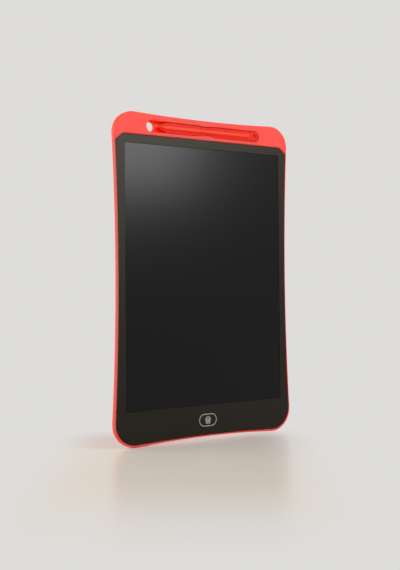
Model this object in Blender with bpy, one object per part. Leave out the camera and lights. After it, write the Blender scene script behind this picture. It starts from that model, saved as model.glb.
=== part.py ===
"""LCD writing tablet of the ten-inch class, with its stylus, standing on its short edge.

Metres, +Z up along the long side, +X to the right seen from the front, and the writing film faces -Y.
The origin is under the middle of the tablet, at its lowest point.
Depths are measured from the plane of the shell's front rim towards the back.
"""

import math

import bmesh
import bpy
from mathutils import Matrix, Vector

# Shell outline, seen from the front: four sides that bow in, and four round corners.
HEIGHT = 0.255
WAIST_WIDTH = 0.1612
WAIST_HEIGHT = 0.133
SIDE_RADIUS = 1.94
TOP_EDGE_RADIUS = 1.35
BOTTOM_EDGE_RADIUS = 0.89
TOP_CORNER_RADIUS = 0.0168
BOTTOM_CORNER_RADIUS = 0.0184

# Shell walls.
THICKNESS = 0.0058
FLOOR = 0.0012
BACK_ROUNDING = 0.0016
FRONT_ROUNDING = 0.0005
LEDGE_WIDTH = 0.0026

# Gaps and overruns.
FIT_GAP = 0.0003
BOND_GAP = 0.0002
OVERRUN = 0.0010
EMBED = 0.0004

# Front bezel.
BEZEL_RECESS = 0.0004
BEZEL_THICKNESS = 0.0014
BEZEL_MARGIN_THICKNESS = 0.0007
BEZEL_WAIST_WIDTH = 0.1600
BEZEL_SIDE_RADIUS = 2.2
BEZEL_BOTTOM_EDGE_RADIUS = 1.37
BEZEL_CORNER_RADIUS = 0.017
BEZEL_LOWEST = 0.0020
BEZEL_ROUNDING = 0.0003
WINDOW_CHAMFER = 0.00015
CHAMFER_WIDTH = 0.0066
CHAMFER_HEIGHT = 0.0054
SIDE_FRAME = 0.0058
TOP_FRAME = 0.0067
CHIN_TOP = 0.0268
WINDOW_CORNER_RADIUS = 0.0008

# Layers behind the window.
TAPE_THICKNESS = 0.00015
FILM_THICKNESS = 0.0007
FILM_MARGIN = 0.0016
FILM_TAPE_WIDTH = 0.0010
BACKING_THICKNESS = 0.00025
FOAM_INSET = 0.0015
BEZEL_TAPE_THICKNESS = 0.0002
BEZEL_TAPE_WIDTH = 0.0018

# Stylus trough in the shell's top band.
TOP_RAIL = 0.0056
TROUGH_WIDTH = 0.0087
TROUGH_WALL = 0.0031
TROUGH_FLOOR = 0.0012
HOLE_X = -0.0507
POCKET_X = 0.0495
POCKET_RADIUS = 0.0047
LIP_CENTRE_X = -0.0005
LIP_LENGTH = 0.026
LIP_DEPTH = 0.0012
LOWER_LIP_REACH = 0.0012
UPPER_LIP_REACH = 0.0007
NUB_RADIUS = 0.0008
NUB_REACH = 0.0004
NUB_GAP = 0.0014

# Stylus.
STYLUS_WIDTH = 0.0070
STYLUS_KEEL = 0.0034
STYLUS_EDGE = 0.0011
STYLUS_RIDGE_WIDTH = 0.0050
STYLUS_RIDGE_HEIGHT = 0.0018
STYLUS_RIDGE_SETBACK = 0.0060
STYLUS_RIDGE_ROUNDING = 0.0010
STYLUS_NOSE_LENGTH = 0.0065
STYLUS_TIP_HALF_WIDTH = 0.0005
STYLUS_TIP_SETBACK = 0.0059
TAIL_RADIUS = 0.0041
TAIL_EYE_RADIUS = 0.0018
TAIL_THICKNESS = 0.0030
TAIL_STEP = 0.0004
TAIL_OVERLAP = 0.0008

# Erase button.
ERASE_DROP = 0.0117
ERASE_WIDTH = 0.0170
ERASE_HEIGHT = 0.0102
ERASE_RING_WIDTH = 0.0012
ERASE_RING_THICKNESS = 0.0005
ERASE_PROUD = 0.00035
ERASE_RING_PROUD = 0.0001
ERASE_PLATE = 0.0009
ERASE_SKIRT = 0.0013
ERASE_FLANGE_WIDTH = 0.0012
ERASE_FLANGE_THICKNESS = 0.0005
ERASE_TRAVEL = 0.0004

# Circuit board.
BOARD_LEFT_X = -0.0260
BOARD_RIGHT_X = 0.0540
BOARD_BOTTOM_Z = 0.0100
BOARD_TOP_Z = 0.0235
BOARD_THICKNESS = 0.0008
BOARD_SEAT = 0.0006
BOARD_CORNER_RADIUS = 0.0010
BOARD_SCREW_INSET_X = 0.0075
BOARD_SCREW_INSET_Z = 0.0040
BOARD_BOSS_RADIUS = 0.0020

# Small machine screws.
SCREW_RADIUS = 0.0008
SCREW_HEAD_RADIUS = 0.0015
SCREW_HEAD_THICKNESS = 0.0005
SCREW_LENGTH = 0.0018
SCREW_SLOT_WIDTH = 0.0004
SCREW_SLOT_LENGTH = 0.0020
SCREW_SLOT_DEPTH = 0.0002
SCREW_END_GAP = 0.0002

# Parts on the circuit board.
SWITCH_SIZE = 0.0050
SWITCH_PLUNGER_RADIUS = 0.0012
SWITCH_WALL = 0.0002
SWITCH_GAP = 0.0002
CHIP_X = 0.0180
CHIP_RADIUS = 0.0030
CHIP_HEIGHT = 0.0008
INDUCTOR_X = 0.0255
INDUCTOR_SIZE = 0.0030
INDUCTOR_CORNER_RADIUS = 0.0005
INDUCTOR_HEIGHT = 0.0010
CAPACITOR_X = -0.0145
CAPACITOR_LENGTH = 0.0032
CAPACITOR_WIDTH = 0.0016
CAPACITOR_HEIGHT = 0.0009
CONTACT_XS = (0.0160, 0.0270)
CONTACT_WIDTH = 0.0060
CONTACT_THICKNESS = 0.00015
CONTACT_OVERLAP = 0.0008
CONTACT_FOOT = 0.0028

# Erase lock on the back.
LOCK_X = 0.0380
LOCK_Z = 0.0080
LOCK_TRAVEL = 0.0025
LOCK_PLATE_LENGTH = 0.0090
LOCK_PLATE_HEIGHT = 0.0042
LOCK_PLATE_THICKNESS = 0.0004
LOCK_CORNER_RADIUS = 0.0008
LOCK_RIDGE_WIDTH = 0.0006
LOCK_RIDGE_HEIGHT = 0.00025
LOCK_RIDGE_PITCH = 0.0014
LOCK_RIDGE_COUNT = 5
LOCK_RECESS_DEPTH = 0.0009
LOCK_PAD_THICKNESS = 0.0004
LOCK_PAD_MARGIN = 0.0010
LOCK_STEM_LENGTH = 0.0040
LOCK_STEM_THICKNESS = 0.0012
LOCK_BARB_REACH = 0.0005
LOCK_BARB_THICKNESS = 0.0005
LOCK_LEVER_WIDTH = 0.0012
LOCK_LEVER_THICKNESS = 0.0005
LOCK_LEVER_GRIP = 0.0012
LOCK_SWITCH_LENGTH = 0.0075
LOCK_SWITCH_HEIGHT = 0.0032
LOCK_SWITCH_SLOT = 0.0014

# Battery and its bay on the back.
CELL_X = -0.0450
CELL_Z = 0.0156
CELL_RADIUS = 0.0100
CELL_THICKNESS = 0.0016
CELL_CAP_RADIUS = 0.0080
CELL_CAP_THICKNESS = 0.0002
BAY_WALL = 0.0011
BAY_WALL_DEPTH = 0.0012
DOOR_LEFT = 0.0118
DOOR_RIGHT = 0.0172
DOOR_HALF_HEIGHT = 0.0111
DOOR_THICKNESS = 0.0010
DOOR_CORNER_RADIUS = 0.0030
DOOR_SCREW_OFFSET = 0.0138
DOOR_SCREW_BOSS_RADIUS = 0.0022
DOOR_SCREW_BOSS_HEIGHT = 0.0005
DOOR_NICK_WIDTH = 0.0060
DOOR_NICK_LENGTH = 0.0010
DOOR_NICK_DEPTH = 0.0005
BATTERY_STRIP_THICKNESS = 0.00015
BATTERY_STRIP_WIDTH = 0.0040
BATTERY_STRIP_RISE = 0.0012
BATTERY_FOOT = 0.0030

# Segment counts, and the angle from which an edge counts as a crease.
EDGE_STEPS = 12
CORNER_STEPS = 9
SMALL_CORNER_STEPS = 4
CIRCLE_STEPS = 40
SMALL_CIRCLE_STEPS = 20
ROUNDING_STEPS = 3
LIP_STEPS = 14
STYLUS_STEPS = 8
MEETING_STEPS = 4
CREASE_DEGREES = 35

# Places along a taper or a rounded end, and the ridge's share of the stylus's width on its nose.
NOSE_SHARES = (0, 1 / 6, 1 / 2, 1)
RIDGE_END_SHARES = (1, 1 / 2, 1 / 6, 0)
NOSE_RIDGE_SHARE = 0.95

# Colours, as red, green and blue shares.
CORAL_RED_SHARES = (0.93, 0.10, 0.075)
BEZEL_GREY_SHARES = (0.045, 0.042, 0.038)
FILM_BLACK_SHARES = (0.012, 0.012, 0.013)
RING_GREY_SHARES = (0.34, 0.34, 0.32)
TAPE_WHITE_SHARES = (0.75, 0.74, 0.70)
FOAM_GREY_SHARES = (0.10, 0.10, 0.11)
BOARD_GREEN_SHARES = (0.02, 0.16, 0.07)
EPOXY_BLACK_SHARES = (0.01, 0.01, 0.01)
FERRITE_GREY_SHARES = (0.09, 0.09, 0.10)
CERAMIC_TAN_SHARES = (0.45, 0.28, 0.13)
COPPER_SHARES = (0.72, 0.38, 0.24)
NICKEL_SHARES = (0.62, 0.61, 0.58)
STEEL_SHARES = (0.55, 0.55, 0.56)

# Places that follow from the sizes above.
STYLUS_THICKNESS = STYLUS_KEEL + STYLUS_RIDGE_HEIGHT
TROUGH_DEPTH = THICKNESS - TROUGH_FLOOR
STYLUS_BACK_DEPTH = TROUGH_DEPTH - FIT_GAP
STYLUS_PROUD = max(STYLUS_THICKNESS - STYLUS_BACK_DEPTH, 0)
RIM_Y = STYLUS_PROUD - (THICKNESS + STYLUS_PROUD) / 2
INNER_DEPTH = THICKNESS - FLOOR
TOP_BAND = TOP_RAIL + TROUGH_WIDTH + TROUGH_WALL
BEZEL_TOP = HEIGHT - TOP_BAND
TROUGH_Z = HEIGHT - TOP_RAIL - TROUGH_WIDTH / 2
BEZEL_BACK_DEPTH = BEZEL_RECESS + BEZEL_THICKNESS
BEZEL_TAPE_DEPTH = BEZEL_BACK_DEPTH + BOND_GAP
LEDGE_DEPTH = BEZEL_TAPE_DEPTH + BEZEL_TAPE_THICKNESS + BOND_GAP
MARGIN_BACK_DEPTH = BEZEL_RECESS + BEZEL_MARGIN_THICKNESS
FILM_TAPE_DEPTH = MARGIN_BACK_DEPTH + BOND_GAP
FILM_DEPTH = FILM_TAPE_DEPTH + TAPE_THICKNESS + BOND_GAP
FILM_BACK_DEPTH = FILM_DEPTH + FILM_THICKNESS
BACKING_DEPTH = FILM_BACK_DEPTH + BOND_GAP
FOAM_DEPTH = BACKING_DEPTH + BACKING_THICKNESS + BOND_GAP
WINDOW_HALF_WIDTH = BEZEL_WAIST_WIDTH / 2 - SIDE_FRAME
WINDOW_TOP = BEZEL_TOP - TOP_FRAME
ERASE_Z = CHIN_TOP - ERASE_DROP
BOARD_BACK_DEPTH = INNER_DEPTH - BOARD_SEAT
BOARD_DEPTH = BOARD_BACK_DEPTH - BOARD_THICKNESS
LOCK_RECESS_FLOOR = THICKNESS - LOCK_RECESS_DEPTH
LOCK_PLATE_DEPTH = LOCK_RECESS_FLOOR + BOND_GAP
DOOR_DEPTH = THICKNESS - DOOR_THICKNESS
DOOR_SEAT_DEPTH = DOOR_DEPTH - BOND_GAP
CELL_DEPTH = DOOR_DEPTH - FIT_GAP - CELL_THICKNESS


def remove_everything():
    for thing in list(bpy.data.objects):
        bpy.data.objects.remove(thing, do_unlink=True)


def material(name, shares, roughness, metallic=0):
    finish = bpy.data.materials.new(name)
    finish.use_nodes = True
    shader = finish.node_tree.nodes["Principled BSDF"]
    shader.inputs["Base Color"].default_value = (*shares, 1)
    shader.inputs["Roughness"].default_value = roughness
    shader.inputs["Metallic"].default_value = metallic
    finish.diffuse_color = (*shares, 1)
    return finish


# Outlines are lists of (x, z) points that run round once.


def arc(centre, radius, start, end, steps):
    """Points from the start angle up to, but without, the end angle."""
    angles = [start + (end - start) * k / steps for k in range(steps)]
    return [(centre[0] + radius * math.cos(a), centre[1] + radius * math.sin(a)) for a in angles]


def circle(x, z, radius, steps=CIRCLE_STEPS):
    return arc((x, z), radius, 0, 2 * math.pi, steps)


def rounded_rectangle(left, right, low, high, radius):
    quarter = math.pi / 2
    corners = [(right - radius, high - radius), (left + radius, high - radius),
               (left + radius, low + radius), (right - radius, low + radius)]
    points = []
    for k, corner in enumerate(corners):
        points += arc(corner, radius, k * quarter, (k + 1) * quarter, SMALL_CORNER_STEPS)
        points.append((corner[0] + radius * math.cos((k + 1) * quarter),
                       corner[1] + radius * math.sin((k + 1) * quarter)))
    return points


def pill(x, z, width, height, grow=0):
    """A rectangle with half-round ends, grown outwards on every side."""
    radius = height / 2
    reach = width / 2 - radius
    steps = CIRCLE_STEPS // 2
    right = arc((x + reach, z), radius + grow, -math.pi / 2, math.pi / 2, steps)
    right.append((x + reach, z + radius + grow))
    left = [(2 * x - px, 2 * z - pz) for px, pz in right]
    return right + left


def side_x(z, waist_width, side_radius, inset):
    centre_x = waist_width / 2 + side_radius
    return centre_x - math.sqrt((side_radius + inset) ** 2 - (z - WAIST_HEIGHT) ** 2)


def lower_half(waist_width, side_radius, edge_radius, corner_radius, lowest, inset):
    """The right half of the bottom edge and the bottom corner, and the angle where the side starts.

    An inset outline keeps the centres of its arcs, and only their radii change.
    """
    side_centre_x = waist_width / 2 + side_radius
    corner_z = lowest + corner_radius
    reach = math.sqrt((side_radius + corner_radius) ** 2 - (corner_z - WAIST_HEIGHT) ** 2)
    corner_x = side_centre_x - reach
    edge_z = corner_z - math.sqrt((edge_radius + corner_radius) ** 2 - corner_x ** 2)
    edge_angle = math.atan2(corner_z - edge_z, corner_x)
    side_angle = math.atan2(WAIST_HEIGHT - corner_z, side_centre_x - corner_x)
    edge = arc((0, edge_z), edge_radius + inset, math.pi / 2, edge_angle, EDGE_STEPS)
    corner = arc((corner_x, corner_z), corner_radius - inset, edge_angle - math.pi, -math.pi / 2, 1)
    corner += arc((corner_x, corner_z), corner_radius - inset, -math.pi / 2, side_angle, CORNER_STEPS)
    return edge + corner, side_angle


def side(waist_width, side_radius, inset, start, end):
    """The right side from the start angle to the end angle, both seen from the bow's far centre."""
    centre = (waist_width / 2 + side_radius, WAIST_HEIGHT)
    return arc(centre, side_radius + inset, math.pi + start, math.pi - end, EDGE_STEPS)


def mirrored(half):
    """Closes a right half, which runs from the bottom middle to the top middle, with its left half."""
    return half + [(-x, z) for x, z in reversed(half[1:-1])]


def shell_outline(inset=0):
    half, low_angle = lower_half(WAIST_WIDTH, SIDE_RADIUS, BOTTOM_EDGE_RADIUS, BOTTOM_CORNER_RADIUS, 0,
                                 inset)
    side_centre_x = WAIST_WIDTH / 2 + SIDE_RADIUS
    corner_z = HEIGHT - TOP_CORNER_RADIUS
    reach = math.sqrt((SIDE_RADIUS + TOP_CORNER_RADIUS) ** 2 - (corner_z - WAIST_HEIGHT) ** 2)
    corner_x = side_centre_x - reach
    edge_z = corner_z + math.sqrt((TOP_EDGE_RADIUS + TOP_CORNER_RADIUS) ** 2 - corner_x ** 2)
    high_angle = math.atan2(corner_z - WAIST_HEIGHT, side_centre_x - corner_x)
    edge_angle = math.atan2(edge_z - corner_z, -corner_x)
    half += side(WAIST_WIDTH, SIDE_RADIUS, inset, low_angle, high_angle)
    half += arc((corner_x, corner_z), TOP_CORNER_RADIUS - inset, -high_angle, math.pi / 2, CORNER_STEPS)
    half += arc((corner_x, corner_z), TOP_CORNER_RADIUS - inset, math.pi / 2, edge_angle, 1)
    half += arc((0, edge_z), TOP_EDGE_RADIUS + inset, edge_angle - math.pi, -math.pi / 2, EDGE_STEPS)
    half.append((0, edge_z - TOP_EDGE_RADIUS - inset))
    return mirrored(half)


def bezel_outline(inset=0):
    half, low_angle = lower_half(BEZEL_WAIST_WIDTH, BEZEL_SIDE_RADIUS, BEZEL_BOTTOM_EDGE_RADIUS,
                                 BEZEL_CORNER_RADIUS, BEZEL_LOWEST, inset)
    chamfer_z = BEZEL_TOP - CHAMFER_HEIGHT
    chamfer_x = side_x(chamfer_z, BEZEL_WAIST_WIDTH, BEZEL_SIDE_RADIUS, 0)
    slope = math.hypot(CHAMFER_WIDTH, CHAMFER_HEIGHT)
    normal = (CHAMFER_HEIGHT / slope, CHAMFER_WIDTH / slope)
    line = normal[0] * chamfer_x + normal[1] * chamfer_z - inset
    low_z = chamfer_z
    for _ in range(MEETING_STEPS):
        low_x = side_x(low_z, BEZEL_WAIST_WIDTH, BEZEL_SIDE_RADIUS, inset)
        low_z = (line - normal[0] * low_x) / normal[1]
    high_z = BEZEL_TOP - inset
    high_x = (line - normal[1] * high_z) / normal[0]
    reach = math.asin((low_z - WAIST_HEIGHT) / (BEZEL_SIDE_RADIUS + inset))
    half += side(BEZEL_WAIST_WIDTH, BEZEL_SIDE_RADIUS, inset, low_angle, reach)
    half += [(low_x, low_z), (high_x, high_z), (0, high_z)]
    return mirrored(half)


def window_outline(grow=0):
    return rounded_rectangle(-WINDOW_HALF_WIDTH - grow, WINDOW_HALF_WIDTH + grow, CHIN_TOP - grow,
                             WINDOW_TOP + grow, WINDOW_CORNER_RADIUS + max(grow, 0))


# Solids.


def bridge(name, rings, finish=None):
    """A closed solid through rings of (x, depth, z) points that all have the same number of points."""
    bm = bmesh.new()
    rings = [[bm.verts.new((x, RIM_Y + depth, z)) for x, depth, z in ring] for ring in rings]
    for near, far in zip(rings, rings[1:]):
        for k in range(len(near)):
            after = (k + 1) % len(near)
            bm.faces.new((near[k], near[after], far[after], far[k]))
    bm.faces.new(list(reversed(rings[0])))
    bm.faces.new(rings[-1])
    bmesh.ops.recalc_face_normals(bm, faces=bm.faces)
    mesh = bpy.data.meshes.new(name)
    bm.to_mesh(mesh)
    bm.free()
    if finish:
        mesh.materials.append(finish)
    thing = bpy.data.objects.new(name, mesh)
    bpy.context.collection.objects.link(thing)
    return thing


def loft(name, sections, finish=None):
    """A closed solid through (outline, depth) sections from front to back."""
    return bridge(name, [[(x, depth, z) for x, z in outline] for outline, depth in sections], finish)


def prism(name, outline, near, far, finish=None):
    return loft(name, [(outline, near), (outline, far)], finish)


def block(name, left, right, low, high, near, far, finish=None):
    return prism(name, [(left, low), (right, low), (right, high), (left, high)], near, far, finish)


def tool(thing):
    """Marks a solid as a guide that only shapes another one."""
    thing.hide_render = True
    thing.display_type = "WIRE"
    return thing


def combine(target, other, operation):
    step = target.modifiers.new(other.name, "BOOLEAN")
    step.operation = operation
    step.solver = "EXACT"
    step.object = tool(other)


def cut(target, other):
    combine(target, other, "DIFFERENCE")


def add(target, other):
    combine(target, other, "UNION")


def rounding(radius, depth, towards_back, steps=ROUNDING_STEPS):
    """Insets and depths of a rounded edge, from the flat face outwards."""
    pairs = []
    for k in range(steps + 1):
        angle = math.pi / 2 * k / steps
        inset = radius * (1 - math.sin(angle))
        drop = radius * (1 - math.cos(angle))
        pairs.append((inset, depth - drop if towards_back else depth + drop))
    return pairs


# Rear shell.


def lip_xs():
    left = LIP_CENTRE_X - LIP_LENGTH / 2
    return [left + LIP_LENGTH * k / LIP_STEPS for k in range(LIP_STEPS + 1)]


def lip_share(x):
    """How far a lip bulges at x, from nothing at its ends to 1 in its middle."""
    along = (x - LIP_CENTRE_X) / LIP_LENGTH
    return math.cos(math.pi * along) ** 2 if abs(along) < 1 / 2 else 0


def retaining_lip(name, towards, reach):
    """A shallow bulge of one trough edge beside the stylus's waist; towards is 1 at the upper edge."""
    wall_z = TROUGH_Z + towards * TROUGH_WIDTH / 2
    root_z = wall_z + towards * EMBED
    places = lip_xs()
    points = [(places[0], root_z)]
    points += [(x, wall_z - towards * reach * lip_share(x)) for x in places]
    points.append((places[-1], root_z))
    return prism(name, points, EMBED / 2, LIP_DEPTH)


def snap_nub(name, towards):
    x = LIP_CENTRE_X - LIP_LENGTH / 2 - NUB_GAP
    wall_z = TROUGH_Z + towards * TROUGH_WIDTH / 2
    centre_z = wall_z + towards * (NUB_RADIUS - NUB_REACH)
    return prism(name, circle(x, centre_z, NUB_RADIUS, SMALL_CIRCLE_STEPS), FRONT_ROUNDING, LIP_DEPTH)


def shell_body(finish):
    edges = rounding(FRONT_ROUNDING, 0, False)
    edges += reversed(rounding(BACK_ROUNDING, THICKNESS, True))
    return loft("rear_shell", [(shell_outline(inset), depth) for inset, depth in edges], finish)


def open_the_tray(shell):
    cut(shell, prism("bezel_pocket", bezel_outline(-FIT_GAP), -OVERRUN, LEDGE_DEPTH))
    cut(shell, prism("cavity", bezel_outline(LEDGE_WIDTH), LEDGE_DEPTH - OVERRUN, INNER_DEPTH))


def open_the_trough(shell):
    """The straight slot from the through-hole to the tail pocket, then the lips and nubs on its edges."""
    half_width = TROUGH_WIDTH / 2
    cut(shell, block("trough_slot", HOLE_X, POCKET_X, TROUGH_Z - half_width, TROUGH_Z + half_width,
                     -OVERRUN, TROUGH_DEPTH))
    cut(shell, prism("push_hole", circle(HOLE_X, TROUGH_Z, half_width), -OVERRUN, THICKNESS + OVERRUN))
    cut(shell, prism("tail_pocket", circle(POCKET_X, TROUGH_Z, POCKET_RADIUS), -OVERRUN, TROUGH_DEPTH))
    add(shell, retaining_lip("lower_lip", -1, LOWER_LIP_REACH))
    add(shell, retaining_lip("upper_lip", 1, UPPER_LIP_REACH))
    add(shell, snap_nub("lower_nub", -1))
    add(shell, snap_nub("upper_nub", 1))


def board_screw_places():
    z = BOARD_BOTTOM_Z + BOARD_SCREW_INSET_Z
    return {"left": (BOARD_LEFT_X + BOARD_SCREW_INSET_X, z),
            "right": (BOARD_RIGHT_X - BOARD_SCREW_INSET_X, z)}


def bore(name, x, z, near, far):
    return prism(name, circle(x, z, SCREW_RADIUS + BOND_GAP, SMALL_CIRCLE_STEPS), near, far)


def seat_the_board(shell):
    """Two bosses that carry the board, with blind bores for its screws."""
    seat = BOARD_BACK_DEPTH + BOND_GAP
    for side_name, (x, z) in board_screw_places().items():
        boss = circle(x, z, BOARD_BOSS_RADIUS, SMALL_CIRCLE_STEPS)
        add(shell, prism(f"board_boss_{side_name}", boss, seat, INNER_DEPTH + EMBED))
        end = BOARD_DEPTH - BOND_GAP + SCREW_LENGTH + SCREW_END_GAP
        cut(shell, bore(f"board_bore_{side_name}", x, z, seat - OVERRUN, end))


def door_outline(grow=0):
    rise = DOOR_HALF_HEIGHT + grow
    return rounded_rectangle(CELL_X - DOOR_LEFT - grow, CELL_X + DOOR_RIGHT + grow, CELL_Z - rise,
                             CELL_Z + rise, DOOR_CORNER_RADIUS + grow)


def door_screw_x():
    return CELL_X + DOOR_SCREW_OFFSET


def open_the_battery_bay(shell):
    """A raised wall round the cell, the door's recess behind it and the door screw's boss."""
    wall_depth = DOOR_SEAT_DEPTH - BAY_WALL_DEPTH
    add(shell, prism("bay_wall", door_outline(FIT_GAP + BAY_WALL), wall_depth, INNER_DEPTH + EMBED))
    boss = circle(door_screw_x(), CELL_Z, DOOR_SCREW_BOSS_RADIUS, SMALL_CIRCLE_STEPS)
    add(shell, prism("door_screw_boss", boss, wall_depth - DOOR_SCREW_BOSS_HEIGHT, wall_depth + EMBED))
    cut(shell, prism("door_recess", door_outline(FIT_GAP), DOOR_SEAT_DEPTH, THICKNESS + OVERRUN))
    bay = circle(CELL_X, CELL_Z, CELL_RADIUS + FIT_GAP)
    cut(shell, prism("cell_bay", bay, LEDGE_DEPTH - OVERRUN, THICKNESS + OVERRUN))
    end = THICKNESS - SCREW_HEAD_THICKNESS - SCREW_LENGTH - SCREW_END_GAP
    cut(shell, bore("door_screw_bore", door_screw_x(), CELL_Z, end, THICKNESS + OVERRUN))


def lock_recess_outline(grow=0):
    reach = (LOCK_PLATE_LENGTH + LOCK_TRAVEL) / 2 + FIT_GAP + grow
    rise = LOCK_PLATE_HEIGHT / 2 + FIT_GAP + grow
    return rounded_rectangle(LOCK_X - reach, LOCK_X + reach, LOCK_Z - rise, LOCK_Z + rise,
                             LOCK_CORNER_RADIUS + FIT_GAP)


def open_the_lock_recess(shell):
    """The slider's recess in the back, the thicker pad in front of it and the slot for the stem."""
    pad_depth = INNER_DEPTH - LOCK_PAD_THICKNESS
    add(shell, prism("lock_pad", lock_recess_outline(LOCK_PAD_MARGIN), pad_depth, INNER_DEPTH + EMBED))
    cut(shell, prism("lock_recess", lock_recess_outline(), LOCK_RECESS_FLOOR, THICKNESS + OVERRUN))
    reach = (LOCK_STEM_LENGTH + LOCK_TRAVEL) / 2 + FIT_GAP
    rise = LOCK_STEM_THICKNESS / 2 + FIT_GAP
    cut(shell, block("lock_slot", LOCK_X - reach, LOCK_X + reach, LOCK_Z - rise, LOCK_Z + rise,
                     pad_depth - OVERRUN, THICKNESS + OVERRUN))


def make_rear_shell():
    shell = shell_body(material("coral_shell_plastic", CORAL_RED_SHARES, 0.42))
    open_the_tray(shell)
    open_the_battery_bay(shell)
    open_the_lock_recess(shell)
    seat_the_board(shell)
    open_the_trough(shell)


# Front bezel and what it holds.


def make_front_bezel():
    finish = material("bezel_plastic", BEZEL_GREY_SHARES, 0.55)
    edges = rounding(BEZEL_ROUNDING, BEZEL_RECESS, False) + [(0, BEZEL_BACK_DEPTH)]
    bezel = loft("front_bezel", [(bezel_outline(inset), depth) for inset, depth in edges], finish)
    far = BEZEL_BACK_DEPTH + OVERRUN
    window = [(window_outline(WINDOW_CHAMFER + OVERRUN), BEZEL_RECESS - OVERRUN),
              (window_outline(), BEZEL_RECESS + WINDOW_CHAMFER), (window_outline(), far)]
    cut(bezel, loft("window", window))
    cut(bezel, prism("film_rebate", window_outline(FILM_MARGIN + FIT_GAP), MARGIN_BACK_DEPTH, far))
    hole = pill(0, ERASE_Z, ERASE_WIDTH, ERASE_HEIGHT, FIT_GAP)
    cut(bezel, prism("erase_hole", hole, -OVERRUN, far))


def make_tapes():
    finish = material("adhesive_tape", TAPE_WHITE_SHARES, 0.7)
    far = BEZEL_TAPE_DEPTH + BEZEL_TAPE_THICKNESS
    bezel_tape = prism("bezel_tape", bezel_outline(FIT_GAP), BEZEL_TAPE_DEPTH, far, finish)
    inner = bezel_outline(FIT_GAP + BEZEL_TAPE_WIDTH)
    cut(bezel_tape, prism("bezel_tape_opening", inner, BEZEL_TAPE_DEPTH - OVERRUN, far + OVERRUN))
    far = FILM_TAPE_DEPTH + TAPE_THICKNESS
    film_tape = prism("film_tape", window_outline(FILM_MARGIN), FILM_TAPE_DEPTH, far, finish)
    inner = window_outline(FILM_MARGIN - FILM_TAPE_WIDTH)
    cut(film_tape, prism("film_tape_opening", inner, FILM_TAPE_DEPTH - OVERRUN, far + OVERRUN))


def make_film_stack():
    prism("writing_film", window_outline(FILM_MARGIN), FILM_DEPTH, FILM_BACK_DEPTH,
          material("writing_film_gloss", FILM_BLACK_SHARES, 0.12))
    prism("film_backing", window_outline(FIT_GAP), BACKING_DEPTH, BACKING_DEPTH + BACKING_THICKNESS,
          material("backing_sheet", EPOXY_BLACK_SHARES, 0.6))
    prism("foam_pad", window_outline(-FOAM_INSET), FOAM_DEPTH, INNER_DEPTH - BOND_GAP,
          material("foam", FOAM_GREY_SHARES, 0.9))


# Erase button.


def make_erase_button():
    cap_finish = material("button_plastic", BEZEL_GREY_SHARES, 0.5)
    ring_finish = material("button_ring_print", RING_GREY_SHARES, 0.4)
    face = BEZEL_RECESS - ERASE_PROUD
    ring_face = face - ERASE_RING_PROUD
    ring_back = ring_face + ERASE_RING_THICKNESS
    shoulder = ring_back + BOND_GAP
    flange = BEZEL_BACK_DEPTH + FIT_GAP
    end = flange + ERASE_FLANGE_THICKNESS

    def shape(grow):
        return pill(0, ERASE_Z, ERASE_WIDTH, ERASE_HEIGHT, grow)

    core = shape(-ERASE_RING_WIDTH - BOND_GAP)
    foot = shape(ERASE_FLANGE_WIDTH)
    cap = loft("erase_button", [(core, face), (core, shoulder), (shape(0), shoulder), (shape(0), flange),
                                (foot, flange), (foot, end)], cap_finish)
    cut(cap, prism("erase_button_hollow", shape(-ERASE_SKIRT), face + ERASE_PLATE, end + OVERRUN))
    ring = prism("erase_button_ring", shape(0), ring_face, ring_back, ring_finish)
    inner = shape(-ERASE_RING_WIDTH)
    cut(ring, prism("erase_ring_opening", inner, ring_face - OVERRUN, ring_back + OVERRUN))


def make_erase_switch():
    """A tactile switch on the board, whose plunger stands just behind the button's plate."""
    plate_back = BEZEL_RECESS - ERASE_PROUD + ERASE_PLATE
    tip = plate_back + SWITCH_GAP
    front = tip + ERASE_TRAVEL + SWITCH_GAP
    back = BOARD_DEPTH - BOND_GAP
    plunger_end = back - SWITCH_WALL - SWITCH_GAP - ERASE_TRAVEL
    half = SWITCH_SIZE / 2
    body = block("erase_switch_body", -half, half, ERASE_Z - half, ERASE_Z + half, front, back,
                 material("switch_housing", NICKEL_SHARES, 0.35, 1))
    well = circle(0, ERASE_Z, SWITCH_PLUNGER_RADIUS + BOND_GAP, SMALL_CIRCLE_STEPS)
    cut(body, prism("switch_well", well, front - OVERRUN, back - SWITCH_WALL))
    stem = circle(0, ERASE_Z, SWITCH_PLUNGER_RADIUS, SMALL_CIRCLE_STEPS)
    finish = material("switch_plunger", EPOXY_BLACK_SHARES, 0.5)
    prism("erase_switch_plunger", stem, tip, plunger_end, finish)


# Circuit board and its parts.


def make_circuit_board():
    outline = rounded_rectangle(BOARD_LEFT_X, BOARD_RIGHT_X, BOARD_BOTTOM_Z, BOARD_TOP_Z,
                                BOARD_CORNER_RADIUS)
    board = prism("circuit_board", outline, BOARD_DEPTH, BOARD_BACK_DEPTH,
                  material("board_laminate", BOARD_GREEN_SHARES, 0.45))
    for side_name, (x, z) in board_screw_places().items():
        cut(board, bore(f"board_hole_{side_name}", x, z, BOARD_DEPTH - OVERRUN, BOARD_BACK_DEPTH + OVERRUN))


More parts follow.
